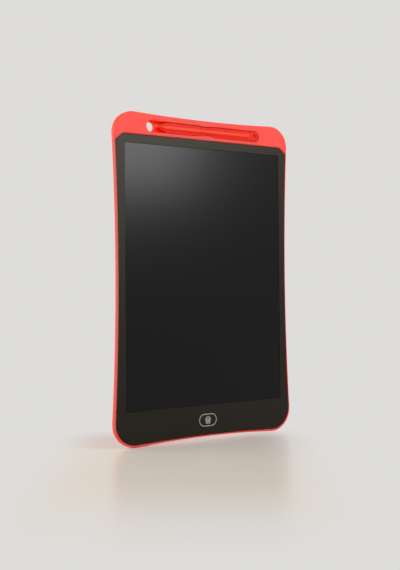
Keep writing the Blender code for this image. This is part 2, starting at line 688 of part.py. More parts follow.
def make_screw(name, x, z, head_face, direction, finish):
    """A flat-headed screw with a cross recess; direction is 1 when it points to the back."""
    head_back = head_face + direction * SCREW_HEAD_THICKNESS
    end = head_back + direction * SCREW_LENGTH
    head = circle(x, z, SCREW_HEAD_RADIUS, SMALL_CIRCLE_STEPS)
    shank = circle(x, z, SCREW_RADIUS, SMALL_CIRCLE_STEPS)
    screw = loft(name, [(head, head_face), (head, head_back), (shank, head_back), (shank, end)], finish)
    slot_end = head_face + direction * SCREW_SLOT_DEPTH
    long_half = SCREW_SLOT_LENGTH / 2
    short_half = SCREW_SLOT_WIDTH / 2
    for half_x, half_z in ((long_half, short_half), (short_half, long_half)):
        cut(screw, block(f"{name}_slot", x - half_x, x + half_x, z - half_z, z + half_z,
                         head_face - direction * OVERRUN, slot_end))


def make_board_screws():
    finish = material("screw_steel", STEEL_SHARES, 0.35, 1)
    for side_name, (x, z) in board_screw_places().items():
        head_face = BOARD_DEPTH - BOND_GAP - SCREW_HEAD_THICKNESS
        make_screw(f"board_screw_{side_name}", x, z, head_face, 1, finish)


def make_board_parts():
    """The driver chip under its drop of epoxy, the square inductor and the storage capacitor."""
    back = BOARD_DEPTH - BOND_GAP
    middle = (BOARD_BOTTOM_Z + BOARD_TOP_Z) / 2
    dome = []
    for k in range(ROUNDING_STEPS + 1):
        angle = math.pi / 2 * (k + 1) / (ROUNDING_STEPS + 1)
        ring = circle(CHIP_X, middle, CHIP_RADIUS * math.sin(angle), SMALL_CIRCLE_STEPS)
        dome.append((ring, back - CHIP_HEIGHT * math.cos(angle)))
    loft("driver_chip", dome, material("chip_epoxy", EPOXY_BLACK_SHARES, 0.3))
    half = INDUCTOR_SIZE / 2
    outline = rounded_rectangle(INDUCTOR_X - half, INDUCTOR_X + half, middle - half, middle + half,
                                INDUCTOR_CORNER_RADIUS)
    prism("boost_inductor", outline, back - INDUCTOR_HEIGHT, back,
          material("ferrite", FERRITE_GREY_SHARES, 0.5))
    block("storage_capacitor", CAPACITOR_X - CAPACITOR_LENGTH / 2, CAPACITOR_X + CAPACITOR_LENGTH / 2,
          middle - CAPACITOR_WIDTH / 2, middle + CAPACITOR_WIDTH / 2, back - CAPACITOR_HEIGHT, back,
          material("capacitor_ceramic", CERAMIC_TAN_SHARES, 0.5))


def make_film_contacts():
    """Two thin strips from behind the film's bottom edge down to the front of the board."""
    finish = material("contact_copper", COPPER_SHARES, 0.4, 1)
    film_bottom = CHIN_TOP - FILM_MARGIN
    high = FILM_BACK_DEPTH + BOND_GAP
    low = BOARD_DEPTH - BOND_GAP - CONTACT_THICKNESS
    line = [(high, film_bottom + CONTACT_OVERLAP), (high, film_bottom - FIT_GAP),
            (low, BOARD_TOP_Z + FIT_GAP), (low, BOARD_TOP_Z - CONTACT_FOOT)]
    profile = line + [(depth + CONTACT_THICKNESS, z) for depth, z in reversed(line)]
    for side_name, middle in zip(("left", "right"), CONTACT_XS):
        ends = (middle - CONTACT_WIDTH / 2, middle + CONTACT_WIDTH / 2)
        rings = [[(x, depth, z) for depth, z in profile] for x in ends]
        bridge(f"film_contact_{side_name}", rings, finish)


# Erase lock.


def lock_rest_x():
    """The slider rests at the left end of its recess, where the erase button works."""
    return LOCK_X - LOCK_TRAVEL / 2


def make_lock_switch():
    """A slide switch in front of the board, with its lever low in a slot of its case."""
    front = BEZEL_BACK_DEPTH + BOND_GAP
    back = BOARD_DEPTH - BOND_GAP
    low = BOARD_BOTTOM_Z + FIT_GAP
    body = block("lock_switch_body", LOCK_X - LOCK_SWITCH_LENGTH / 2, LOCK_X + LOCK_SWITCH_LENGTH / 2,
                 low, low + LOCK_SWITCH_HEIGHT, front, back,
                 material("lock_switch_case", NICKEL_SHARES, 0.4, 1))
    middle = (front + back) / 2
    rise = LOCK_LEVER_THICKNESS / 2
    reach = (LOCK_LEVER_WIDTH + LOCK_TRAVEL) / 2 + BOND_GAP
    cut(body, block("lock_switch_slot", LOCK_X - reach, LOCK_X + reach, low - OVERRUN,
                    low + LOCK_SWITCH_SLOT, middle - rise - BOND_GAP, middle + rise + BOND_GAP))
    x = lock_rest_x()
    half_width = LOCK_LEVER_WIDTH / 2
    block("lock_switch_lever", x - half_width, x + half_width, LOCK_Z - LOCK_LEVER_GRIP / 2,
          low + LOCK_SWITCH_SLOT - BOND_GAP, middle - rise, middle + rise,
          material("lever_plastic", EPOXY_BLACK_SHARES, 0.5))


def make_lock_slider():
    """A ridged plate in the back, with a forked stem that grips the switch's lever."""
    x = lock_rest_x()
    finish = material("slider_plastic", BEZEL_GREY_SHARES, 0.5)
    half_length = LOCK_PLATE_LENGTH / 2
    half_height = LOCK_PLATE_HEIGHT / 2
    outline = rounded_rectangle(x - half_length, x + half_length, LOCK_Z - half_height,
                                LOCK_Z + half_height, LOCK_CORNER_RADIUS)
    plate_back = LOCK_PLATE_DEPTH + LOCK_PLATE_THICKNESS
    slider = prism("lock_slider", outline, LOCK_PLATE_DEPTH, plate_back, finish)
    for k in range(LOCK_RIDGE_COUNT):
        place = x + (k - (LOCK_RIDGE_COUNT - 1) / 2) * LOCK_RIDGE_PITCH
        ridge = block(f"lock_ridge_{k}", place - LOCK_RIDGE_WIDTH / 2, place + LOCK_RIDGE_WIDTH / 2,
                      LOCK_Z - half_height / 2, LOCK_Z + half_height / 2,
                      plate_back - LOCK_PLATE_THICKNESS / 2, plate_back + LOCK_RIDGE_HEIGHT)
        add(slider, ridge)
    front = BEZEL_BACK_DEPTH + FIT_GAP
    half_stem = LOCK_STEM_LENGTH / 2
    half_width = LOCK_STEM_THICKNESS / 2
    stem = block("lock_stem", x - half_stem, x + half_stem, LOCK_Z - half_width, LOCK_Z + half_width, front,
                 LOCK_PLATE_DEPTH + LOCK_PLATE_THICKNESS / 2)
    add(slider, stem)
    barb_back = INNER_DEPTH - LOCK_PAD_THICKNESS - FIT_GAP
    barb = block("lock_barb", x - half_stem, x + half_stem, LOCK_Z - half_width - LOCK_BARB_REACH,
                 LOCK_Z + half_width + LOCK_BARB_REACH, barb_back - LOCK_BARB_THICKNESS, barb_back)
    add(slider, barb)
    half_gap = LOCK_LEVER_WIDTH / 2 + BOND_GAP
    middle = (BEZEL_BACK_DEPTH + BOARD_DEPTH) / 2
    fork_end = middle + LOCK_LEVER_THICKNESS / 2 + FIT_GAP
    cut(slider, block("lock_fork", x - half_gap, x + half_gap, LOCK_Z - half_width - OVERRUN,
                      LOCK_Z + half_width + OVERRUN, front - OVERRUN, fork_end))


# Battery.


def make_coin_cell():
    rim = circle(CELL_X, CELL_Z, CELL_RADIUS)
    shoulder = circle(CELL_X, CELL_Z, CELL_CAP_RADIUS)
    near = CELL_DEPTH + CELL_CAP_THICKNESS
    far = CELL_DEPTH + CELL_THICKNESS
    loft("coin_cell", [(shoulder, CELL_DEPTH), (shoulder, near), (rim, near), (rim, far)],
         material("cell_steel", NICKEL_SHARES, 0.25, 1))


def make_battery_contacts():
    """The negative strip crosses the cell's front, and the positive one stands against its rim."""
    finish = material("contact_spring", NICKEL_SHARES, 0.3, 1)
    board_face = BOARD_DEPTH - BOND_GAP
    strip_back = CELL_DEPTH - BOND_GAP
    low = CELL_Z - BATTERY_STRIP_WIDTH / 2
    high = CELL_Z + BATTERY_STRIP_WIDTH / 2
    foot_left = BOARD_LEFT_X + BOND_GAP
    foot_right = foot_left + BATTERY_FOOT
    thickness = BATTERY_STRIP_THICKNESS
    line = [(CELL_X, strip_back - thickness), (foot_left - BATTERY_FOOT, strip_back - thickness),
            (foot_left, board_face - thickness), (foot_right, board_face - thickness)]
    bent_strip("battery_contact_negative", line, thickness, low, high, finish)
    low = high + FIT_GAP
    high = low + BATTERY_STRIP_WIDTH
    spring_x = CELL_X + math.sqrt(CELL_RADIUS ** 2 - (low - CELL_Z) ** 2) + BOND_GAP
    wall_front = DOOR_SEAT_DEPTH - BAY_WALL_DEPTH - BOND_GAP
    risen = wall_front - BATTERY_STRIP_RISE + thickness
    line = [(spring_x, wall_front), (spring_x, risen), (foot_left - BATTERY_FOOT / 2, risen),
            (foot_left, board_face - thickness), (foot_right, board_face - thickness)]
    bent_strip("battery_contact_positive", line, thickness, low, high, finish)


def bent_strip(name, line, thickness, low, high, finish):
    """A flat spring: its (x, depth) line, given the same thickness everywhere, between two heights."""
    profile = line + list(reversed(offset_line(line, thickness)))
    return bridge(name, [[(x, depth, z) for x, depth in profile] for z in (low, high)], finish)


def offset_line(line, distance):
    """The same bent line, moved to its own right by the distance, with its corners kept sharp."""
    moved = []
    for k, (x, depth) in enumerate(line):
        directions = []
        for a, b in ((k - 1, k), (k, k + 1)):
            if a >= 0 and b < len(line):
                dx, dd = line[b][0] - line[a][0], line[b][1] - line[a][1]
                size = math.hypot(dx, dd)
                directions.append((-dd / size, dx / size))
        nx = sum(d[0] for d in directions) / len(directions)
        nd = sum(d[1] for d in directions) / len(directions)
        size = nx * nx + nd * nd
        moved.append((x + distance * nx / size, depth + distance * nd / size))
    return moved


def make_battery_door():
    """The door with its nick for a fingernail, and the screw sunk in it."""
    door = prism("battery_door", door_outline(), DOOR_DEPTH, THICKNESS,
                 material("door_plastic", CORAL_RED_SHARES, 0.45))
    head = circle(door_screw_x(), CELL_Z, SCREW_HEAD_RADIUS + BOND_GAP, SMALL_CIRCLE_STEPS)
    head_depth = THICKNESS - SCREW_HEAD_THICKNESS - BOND_GAP
    cut(door, prism("door_screw_seat", head, head_depth, THICKNESS + OVERRUN))
    cut(door, bore("door_screw_hole", door_screw_x(), CELL_Z, DOOR_DEPTH - OVERRUN, THICKNESS + OVERRUN))
    left = CELL_X - DOOR_LEFT
    cut(door, block("door_nick", left - OVERRUN, left + DOOR_NICK_LENGTH, CELL_Z - DOOR_NICK_WIDTH / 2,
                    CELL_Z + DOOR_NICK_WIDTH / 2, THICKNESS - DOOR_NICK_DEPTH, THICKNESS + OVERRUN))
    make_screw("battery_door_screw", door_screw_x(), CELL_Z, THICKNESS, -1,
               material("door_screw_steel", STEEL_SHARES, 0.35, 1))


# Stylus.


def stylus_tip_x():
    return HOLE_X + STYLUS_TIP_SETBACK


def stylus_half_width(x):
    """Half the width of the flat body at x: full, drawn in beside the lips, or tapering to the tip."""
    full = STYLUS_WIDTH / 2
    along = (x - stylus_tip_x()) / STYLUS_NOSE_LENGTH
    if along < 1:
        return STYLUS_TIP_HALF_WIDTH + (full - STYLUS_TIP_HALF_WIDTH) * along
    clear = TROUGH_WIDTH / 2 - max(LOWER_LIP_REACH, UPPER_LIP_REACH) * lip_share(x) - FIT_GAP
    return min(full, clear)


def ridge_share(x):
    """How much of the ridge's height stands at x, with a quarter-round end before the tail."""
    end = POCKET_X - STYLUS_RIDGE_SETBACK
    into = min(max((x - end + STYLUS_RIDGE_ROUNDING) / STYLUS_RIDGE_ROUNDING, 0), 1)
    return math.sqrt(1 - into ** 2)


def stylus_section(x):
    """The (depth, z) points of a cross-section: a rounded keel, two flat shoulders and a round ridge."""
    half_width = stylus_half_width(x)
    ridge = min(STYLUS_RIDGE_WIDTH / 2, half_width * NOSE_RIDGE_SHARE)
    height = STYLUS_RIDGE_HEIGHT * ridge_share(x)
    shoulder = STYLUS_BACK_DEPTH - STYLUS_KEEL
    edge = shoulder + STYLUS_EDGE
    points = []
    for k in range(STYLUS_STEPS + 1):
        angle = math.pi * k / STYLUS_STEPS
        points.append((shoulder - height * math.sin(angle), TROUGH_Z + ridge * math.cos(angle)))
    points.append((shoulder, TROUGH_Z - half_width))
    points.append((edge, TROUGH_Z - half_width))
    for k in range(1, STYLUS_STEPS):
        angle = math.pi * k / STYLUS_STEPS
        rounded = (STYLUS_KEEL - STYLUS_EDGE) * math.sin(angle)
        points.append((edge + rounded, TROUGH_Z - half_width * math.cos(angle)))
    points.append((edge, TROUGH_Z + half_width))
    points.append((shoulder, TROUGH_Z + half_width))
    return points


def tapered(points, x):
    """Draws a cross-section's depths together towards the stylus's middle along its nose."""
    middle = STYLUS_BACK_DEPTH - STYLUS_THICKNESS / 2
    along = min((x - stylus_tip_x()) / STYLUS_NOSE_LENGTH, 1)
    tip_share = STYLUS_TIP_HALF_WIDTH / (STYLUS_THICKNESS / 2)
    share = tip_share + (1 - tip_share) * along
    return [(middle + (depth - middle) * share, z) for depth, z in points]


def stylus_xs():
    tip_x = stylus_tip_x()
    ridge_end = POCKET_X - STYLUS_RIDGE_SETBACK
    places = [tip_x + STYLUS_NOSE_LENGTH * share for share in NOSE_SHARES]
    places += lip_xs()
    places += [ridge_end - STYLUS_RIDGE_ROUNDING * share for share in RIDGE_END_SHARES]
    places.append(POCKET_X - TAIL_RADIUS + TAIL_OVERLAP)
    return places


def make_stylus():
    """The body from its tip to the tail, and the round tail with the eye through it."""
    rings = [[(x, depth, z) for depth, z in tapered(stylus_section(x), x)] for x in stylus_xs()]
    stylus = bridge("stylus", rings, material("stylus_plastic", CORAL_RED_SHARES, 0.35))
    face = STYLUS_BACK_DEPTH - STYLUS_KEEL - TAIL_STEP
    add(stylus, prism("stylus_tail", circle(POCKET_X, TROUGH_Z, TAIL_RADIUS), face, face + TAIL_THICKNESS))
    eye = circle(POCKET_X, TROUGH_Z, TAIL_EYE_RADIUS, SMALL_CIRCLE_STEPS)
    cut(stylus, prism("stylus_eye", eye, face - OVERRUN, face + TAIL_THICKNESS + OVERRUN))


# Last steps for every piece.


def settle_shapes():
    """Gives each piece its cut shape as its own mesh, with creases only at real edges, without guides."""
    graph = bpy.context.evaluated_depsgraph_get()
    pieces = [thing for thing in bpy.data.objects if not thing.hide_render]
    guides = [thing for thing in bpy.data.objects if thing.hide_render]
    meshes = [bpy.data.meshes.new_from_object(piece.evaluated_get(graph)) for piece in pieces]
    for piece, mesh in zip(pieces, meshes):
        mesh.name = piece.name
        mesh.shade_smooth()
        mesh.set_sharp_from_angle(angle=math.radians(CREASE_DEGREES))
        piece.modifiers.clear()
        piece.data = mesh
        piece.modifiers.new("even_shading", "WEIGHTED_NORMAL").keep_sharp = True
    for guide in guides:
        bpy.data.objects.remove(guide, do_unlink=True)
    return pieces


def centre_origins(pieces):
    """Puts each origin in the middle of its piece, which is on the line that a moving piece slides along."""
    for piece in pieces:
        low = Vector([min(corner[k] for corner in piece.bound_box) for k in range(3)])
        high = Vector([max(corner[k] for corner in piece.bound_box) for k in range(3)])
        middle = (low + high) / 2
        piece.data.transform(Matrix.Translation(-middle))
        piece.location = middle


def parent_pieces(pieces):
    """Hangs every piece on the shell, or on the button, slider or door that it moves along with."""
    riders = {"erase_button_ring": "erase_button", "erase_switch_plunger": "erase_button",
              "lock_switch_lever": "lock_slider", "battery_door_screw": "battery_door"}
    places = {piece.name: piece.location.copy() for piece in pieces}
    for piece in pieces:
        if piece.name == "rear_shell":
            continue
        parent = riders.get(piece.name, "rear_shell")
        piece.parent = bpy.data.objects[parent]
        piece.location = places[piece.name] - places[parent]


def main():
    remove_everything()
    make_rear_shell()
    make_front_bezel()
    make_tapes()
    make_film_stack()
    make_erase_button()
    make_erase_switch()
    make_circuit_board()
    make_board_screws()
    make_board_parts()
    make_film_contacts()
    make_lock_switch()
    make_lock_slider()
    make_coin_cell()
    make_battery_contacts()
    make_battery_door()
    make_stylus()
    pieces = settle_shapes()
    centre_origins(pieces)
    parent_pieces(pieces)


main()
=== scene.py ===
"""Looks of the LCD writing tablet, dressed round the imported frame, in metres.

Places follow the CAD model: +Z up, the film faces -Y, and depths run from the plane of the shell's front
rim towards the back.
"""

import math

import bmesh
import bpy
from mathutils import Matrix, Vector


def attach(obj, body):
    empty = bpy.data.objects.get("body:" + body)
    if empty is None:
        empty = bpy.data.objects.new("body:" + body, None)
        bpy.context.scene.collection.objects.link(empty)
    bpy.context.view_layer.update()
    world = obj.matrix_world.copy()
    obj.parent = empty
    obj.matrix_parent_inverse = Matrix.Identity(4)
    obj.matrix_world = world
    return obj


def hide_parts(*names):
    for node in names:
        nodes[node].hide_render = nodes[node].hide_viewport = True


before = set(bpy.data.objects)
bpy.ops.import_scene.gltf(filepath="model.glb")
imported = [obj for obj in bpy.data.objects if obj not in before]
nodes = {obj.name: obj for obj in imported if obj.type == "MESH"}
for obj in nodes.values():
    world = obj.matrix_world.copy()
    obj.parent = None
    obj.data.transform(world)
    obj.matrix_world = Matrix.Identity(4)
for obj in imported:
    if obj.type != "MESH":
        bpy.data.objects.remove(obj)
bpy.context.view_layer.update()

# Camera, fitted to the photograph's frame of 400 by 570.
CAMERA_PLACE = (-0.41464747, -0.60239965, 0.12459736)
CAMERA_TURN_DEGREES = (91.672586, 0.446556, -34.212394)
CAMERA_LENS = 57.75
CAMERA_SENSOR = 36
CAMERA_SHIFT_Y = -0.0521

# Shell outline and walls.
HEIGHT = 0.255
WAIST_WIDTH = 0.1612
WAIST_HEIGHT = 0.133
SIDE_RADIUS = 1.94
TOP_EDGE_RADIUS = 1.35
BOTTOM_EDGE_RADIUS = 0.89
TOP_CORNER_RADIUS = 0.0168
BOTTOM_CORNER_RADIUS = 0.0184
THICKNESS = 0.0058
BACK_ROUNDING = 0.0016
FRONT_ROUNDING = 0.0007
LEDGE_WIDTH = 0.0026
RIM_Y = -0.00245
INNER_DEPTH = 0.0046
LEDGE_DEPTH = 0.0024
OVERRUN = 0.0010
EMBED = 0.0004
FIT_GAP = 0.0003
BOND_GAP = 0.0002
RIM_ROUNDING = 0.0004
VISIBLE_TRIM = 0.00004
SMALL_ROUNDING = 0.00012

# Front bezel and window.
BEZEL_RECESS = 0.0004
BEZEL_BACK_DEPTH = 0.0018
BEZEL_MARGIN_BACK = 0.0011
BEZEL_WAIST_WIDTH = 0.1600
BEZEL_SIDE_RADIUS = 2.2
BEZEL_BOTTOM_EDGE_RADIUS = 1.37
BEZEL_CORNER_RADIUS = 0.017
BEZEL_LOWEST = 0.0020
BEZEL_ROUNDING = 0.0003
BEZEL_TOP = 0.2376
CHAMFER_WIDTH = 0.0066
CHAMFER_HEIGHT = 0.0054
WINDOW_HALF_WIDTH = 0.0742
WINDOW_TOP = 0.2309
WINDOW_CHAMFER = 0.00015
WINDOW_CORNER_RADIUS = 0.0008
CHIN_TOP = 0.0268
FILM_MARGIN = 0.0016
FILM_DEPTH = 0.00165
FILM_BACK_DEPTH = 0.00235
FILM_FACE_DEPTH = 0.0007
FILM_FACE_INSET = 0.00008
FILM_ROUNDING = 0.00008

# Stylus trough.
TROUGH_Z = 0.24492
TROUGH_WIDTH = 0.0088
TROUGH_DEPTH = 0.0046
TROUGH_FILLET = 0.0020
HOLE_X = -0.0507
HOLE_RADIUS = 0.0041
HOLE_ROUNDING = 0.00012
POCKET_X = 0.0492
POCKET_RADIUS = 0.0045
LIP_CENTRE_X = -0.0005
LIP_LENGTH = 0.026
LIP_DEPTH = 0.0012
LIP_SLOPE = 0.0002
LOWER_LIP_REACH = 0.00120
UPPER_LIP_REACH = 0.00070
NUB_X = -0.0149
NUB_RADIUS = 0.0009
NUB_REACH = 0.0005

# Stylus.
STYLUS_WIDTH = 0.0084
STYLUS_BACK_DEPTH = 0.0043
STYLUS_KEEL = 0.0038
STYLUS_EDGE = 0.0015
STYLUS_RIDGE_WIDTH = 0.0053
STYLUS_RIDGE_HEIGHT = 0.0014
STYLUS_RIDGE_END = 0.0435
STYLUS_RIDGE_ROUNDING = 0.0010
STYLUS_NOSE_LENGTH = 0.0078
STYLUS_TIP_HALF_WIDTH = 0.0003
STYLUS_TIP_CREST = 0.7
STYLUS_TIP_KEEL = 0.3
STYLUS_CREST = 0.3
STYLUS_TIP_X = -0.0448
STYLUS_ROUNDING = 0.0006
TAIL_RADIUS = 0.0042
TAIL_EYE_RADIUS = 0.0017
TAIL_EYE_DEPTH = 0.0012
TAIL_EYE_STEPS = 8
TAIL_THICKNESS = 0.0030
TAIL_STEP = 0.0002
TAIL_OVERLAP = 0.0008
TAIL_ROUNDING = 0.0003

# Erase button and its printed bin.
ERASE_Z = 0.0151
ERASE_WIDTH = 0.0170
ERASE_HEIGHT = 0.0102
ERASE_FACE = 0.00005
ERASE_RING_WIDTH = 0.0009
ERASE_RING_THICKNESS = 0.0005
ERASE_RING_PROUD = 0.0001
ERASE_RING_ROUNDING = 0.0002
ERASE_ROUNDING = 0.0002
ERASE_PLATE = 0.0009
ERASE_SKIRT = 0.0013
ERASE_FLANGE_WIDTH = 0.0012
ERASE_FLANGE_THICKNESS = 0.0005
PRINT_PROUD = 0.00003
PRINT_ROOT = 0.00004

# Battery door, its screw and the cell.
CELL_X = -0.0450
CELL_Z = 0.0156
CELL_RADIUS = 0.0100
CELL_THICKNESS = 0.0016
CELL_CAP_RADIUS = 0.0080
CELL_CAP_THICKNESS = 0.0002
CELL_DEPTH = 0.0029
CELL_ROUNDING = 0.00025
DOOR_LEFT = 0.0118
DOOR_RIGHT = 0.0172
DOOR_HALF_HEIGHT = 0.0111
DOOR_THICKNESS = 0.0010
DOOR_CORNER_RADIUS = 0.0030
DOOR_ROUNDING = 0.00015
DOOR_SCREW_X = -0.0312
DOOR_NICK_WIDTH = 0.0060
DOOR_NICK_LENGTH = 0.0010
DOOR_NICK_DEPTH = 0.0005
BAY_WALL = 0.0011
BAY_WALL_DEPTH = 0.0012
DOOR_SCREW_BOSS_RADIUS = 0.0022
DOOR_SCREW_BOSS_HEIGHT = 0.0005
SCREW_RADIUS = 0.0008
SCREW_HEAD_RADIUS = 0.0015
SCREW_HEAD_THICKNESS = 0.0005
SCREW_LENGTH = 0.0018
SCREW_END_GAP = 0.0002
CROSS_REACH = 0.00088
CROSS_HALF_WIDTH = 0.00021
CROSS_DEPTH = 0.00034
CROSS_MOUTH = 1.15
CROSS_FOOT = 0.55
PLUS_RISE = 0.0050
PLUS_REACH = 0.0016
PLUS_HALF_WIDTH = 0.00025
PLUS_DEPTH = 0.00008

# Erase lock.
LOCK_X = 0.0380
LOCK_Z = 0.0080
LOCK_TRAVEL = 0.0025
LOCK_PLATE_LENGTH = 0.0090
LOCK_PLATE_HEIGHT = 0.0042
LOCK_PLATE_THICKNESS = 0.0004
LOCK_CORNER_RADIUS = 0.0008
LOCK_RIDGE_WIDTH = 0.0006
LOCK_RIDGE_HEIGHT = 0.00025
LOCK_RIDGE_PITCH = 0.0014
LOCK_RIDGE_COUNT = 5
LOCK_RIDGE_SOFTNESS = 0.9
LOCK_RECESS_DEPTH = 0.0009
LOCK_PAD_THICKNESS = 0.0004
LOCK_PAD_MARGIN = 0.0010
LOCK_STEM_LENGTH = 0.0040
LOCK_STEM_THICKNESS = 0.0012
LOCK_BARB_REACH = 0.0005
LOCK_BARB_THICKNESS = 0.0005
LOCK_LEVER_WIDTH = 0.0012
LOCK_FORK_END = 0.00285

# Segment counts.
EDGE_STEPS = 36
CORNER_STEPS = 28
SMALL_CORNER_STEPS = 10
CIRCLE_STEPS = 72
SMALL_CIRCLE_STEPS = 36
ROUNDING_STEPS = 7
LIP_STEPS = 40
NUB_STEPS = 14
STYLUS_STEPS = 20
STYLUS_CORNER_STEPS = 4
MEETING_STEPS = 4
CREASE_DEGREES = 32


def make_camera():
    data = bpy.data.cameras.new("photo_camera")
    data.lens = CAMERA_LENS
    data.sensor_width = CAMERA_SENSOR
    data.shift_y = CAMERA_SHIFT_Y
    data.clip_start = 0.01
    data.clip_end = 20
    camera = bpy.data.objects.new("photo_camera", data)
    camera.location = CAMERA_PLACE
    camera.rotation_euler = [math.radians(angle) for angle in CAMERA_TURN_DEGREES]
    bpy.context.scene.collection.objects.link(camera)
    bpy.context.scene.camera = camera


# Outlines are lists of (x, z) points that run round once.


def arc(centre, radius, start, end, steps):
    """Points from the start angle up to, but without, the end angle."""
    angles = [start + (end - start) * k / steps for k in range(steps)]
    return [(centre[0] + radius * math.cos(a), centre[1] + radius * math.sin(a)) for a in angles]


def circle(x, z, radius, steps=CIRCLE_STEPS):
    return arc((x, z), radius, 0, 2 * math.pi, steps)


def rectangle(left, right, low, high):
    return [(left, low), (right, low), (right, high), (left, high)]


def rounded_rectangle(left, right, low, high, radius):
    quarter = math.pi / 2
    corners = [(right - radius, high - radius), (left + radius, high - radius),
               (left + radius, low + radius), (right - radius, low + radius)]
    points = []
    for k, corner in enumerate(corners):
        points += arc(corner, radius, k * quarter, (k + 1) * quarter, SMALL_CORNER_STEPS)
        points.append((corner[0] + radius * math.cos((k + 1) * quarter),
                       corner[1] + radius * math.sin((k + 1) * quarter)))
    return points


def pill(x, z, width, height, grow):
    """A rectangle with half-round ends, grown outwards on every side."""
    radius = height / 2
    reach = width / 2 - radius
    steps = CIRCLE_STEPS // 2
    right = arc((x + reach, z), radius + grow, -math.pi / 2, math.pi / 2, steps)
    right.append((x + reach, z + radius + grow))
    left = [(2 * x - px, 2 * z - pz) for px, pz in right]
    return right + left


def side_x(z, waist_width, side_radius, inset):
    centre_x = waist_width / 2 + side_radius
    return centre_x - math.sqrt((side_radius + inset) ** 2 - (z - WAIST_HEIGHT) ** 2)


def lower_half(waist_width, side_radius, edge_radius, corner_radius, lowest, inset):
    """The right half of the bottom edge and the bottom corner, and the angle where the side starts."""
    side_centre_x = waist_width / 2 + side_radius
    corner_z = lowest + corner_radius
    reach = math.sqrt((side_radius + corner_radius) ** 2 - (corner_z - WAIST_HEIGHT) ** 2)
    corner_x = side_centre_x - reach
    edge_z = corner_z - math.sqrt((edge_radius + corner_radius) ** 2 - corner_x ** 2)
    edge_angle = math.atan2(corner_z - edge_z, corner_x)
    side_angle = math.atan2(WAIST_HEIGHT - corner_z, side_centre_x - corner_x)
    edge = arc((0, edge_z), edge_radius + inset, math.pi / 2, edge_angle, EDGE_STEPS)
    corner = arc((corner_x, corner_z), corner_radius - inset, edge_angle - math.pi, side_angle,
                 CORNER_STEPS)
    return edge + corner, side_angle


def side(waist_width, side_radius, inset, start, end):
    """The right side from the start angle to the end angle, both seen from the bow's far centre."""
    centre = (waist_width / 2 + side_radius, WAIST_HEIGHT)
    return arc(centre, side_radius + inset, math.pi + start, math.pi - end, EDGE_STEPS)


def mirrored(half):
    """Closes a right half, which runs from the bottom middle to the top middle, with its left half."""
    return half + [(-x, z) for x, z in reversed(half[1:-1])]


def shell_outline(inset):
    half, low_angle = lower_half(WAIST_WIDTH, SIDE_RADIUS, BOTTOM_EDGE_RADIUS, BOTTOM_CORNER_RADIUS, 0,
                                 inset)
    side_centre_x = WAIST_WIDTH / 2 + SIDE_RADIUS
    corner_z = HEIGHT - TOP_CORNER_RADIUS
    reach = math.sqrt((SIDE_RADIUS + TOP_CORNER_RADIUS) ** 2 - (corner_z - WAIST_HEIGHT) ** 2)
    corner_x = side_centre_x - reach
    edge_z = corner_z + math.sqrt((TOP_EDGE_RADIUS + TOP_CORNER_RADIUS) ** 2 - corner_x ** 2)
    high_angle = math.atan2(corner_z - WAIST_HEIGHT, side_centre_x - corner_x)
    edge_angle = math.atan2(edge_z - corner_z, -corner_x)
    half += side(WAIST_WIDTH, SIDE_RADIUS, inset, low_angle, high_angle)
    half += arc((corner_x, corner_z), TOP_CORNER_RADIUS - inset, -high_angle, edge_angle, CORNER_STEPS)
    half += arc((0, edge_z), TOP_EDGE_RADIUS + inset, edge_angle - math.pi, -math.pi / 2, EDGE_STEPS)
    half.append((0, edge_z - TOP_EDGE_RADIUS - inset))
    return mirrored(half)


def bezel_outline(inset):
    half, low_angle = lower_half(BEZEL_WAIST_WIDTH, BEZEL_SIDE_RADIUS, BEZEL_BOTTOM_EDGE_RADIUS,
                                 BEZEL_CORNER_RADIUS, BEZEL_LOWEST, inset)
    chamfer_z = BEZEL_TOP - CHAMFER_HEIGHT
    chamfer_x = side_x(chamfer_z, BEZEL_WAIST_WIDTH, BEZEL_SIDE_RADIUS, 0)
    slope = math.hypot(CHAMFER_WIDTH, CHAMFER_HEIGHT)
    normal = (CHAMFER_HEIGHT / slope, CHAMFER_WIDTH / slope)
    line = normal[0] * chamfer_x + normal[1] * chamfer_z - inset
    low_z = chamfer_z
    for _ in range(MEETING_STEPS):
        low_x = side_x(low_z, BEZEL_WAIST_WIDTH, BEZEL_SIDE_RADIUS, inset)
        low_z = (line - normal[0] * low_x) / normal[1]
    high_z = BEZEL_TOP - inset
    high_x = (line - normal[1] * high_z) / normal[0]
    reach = math.asin((low_z - WAIST_HEIGHT) / (BEZEL_SIDE_RADIUS + inset))
    half += side(BEZEL_WAIST_WIDTH, BEZEL_SIDE_RADIUS, inset, low_angle, reach)
    half += [(low_x, low_z), (high_x, high_z), (0, high_z)]
    return mirrored(half)


def window_outline(grow):
    return rounded_rectangle(-WINDOW_HALF_WIDTH - grow, WINDOW_HALF_WIDTH + grow, CHIN_TOP - grow,
                             WINDOW_TOP + grow, WINDOW_CORNER_RADIUS + max(grow, 0))


def lip_share(x):
    """How far a lip bulges at x, from nothing at its ends to 1 in its middle."""
    along = (x - LIP_CENTRE_X) / LIP_LENGTH
    return math.cos(math.pi * along) ** 2 if abs(along) < 1 / 2 else 0


def trough_bulge(x, reach, grow):
    """How far a trough edge comes in at x: a lip's long bulge or the small round nub beside it."""
    bulge = reach * lip_share(x) - grow
    across = (NUB_RADIUS - grow) ** 2 - (x - NUB_X) ** 2
    if across > 0:
        bulge = max(bulge, math.sqrt(across) - NUB_RADIUS + NUB_REACH)
    return bulge


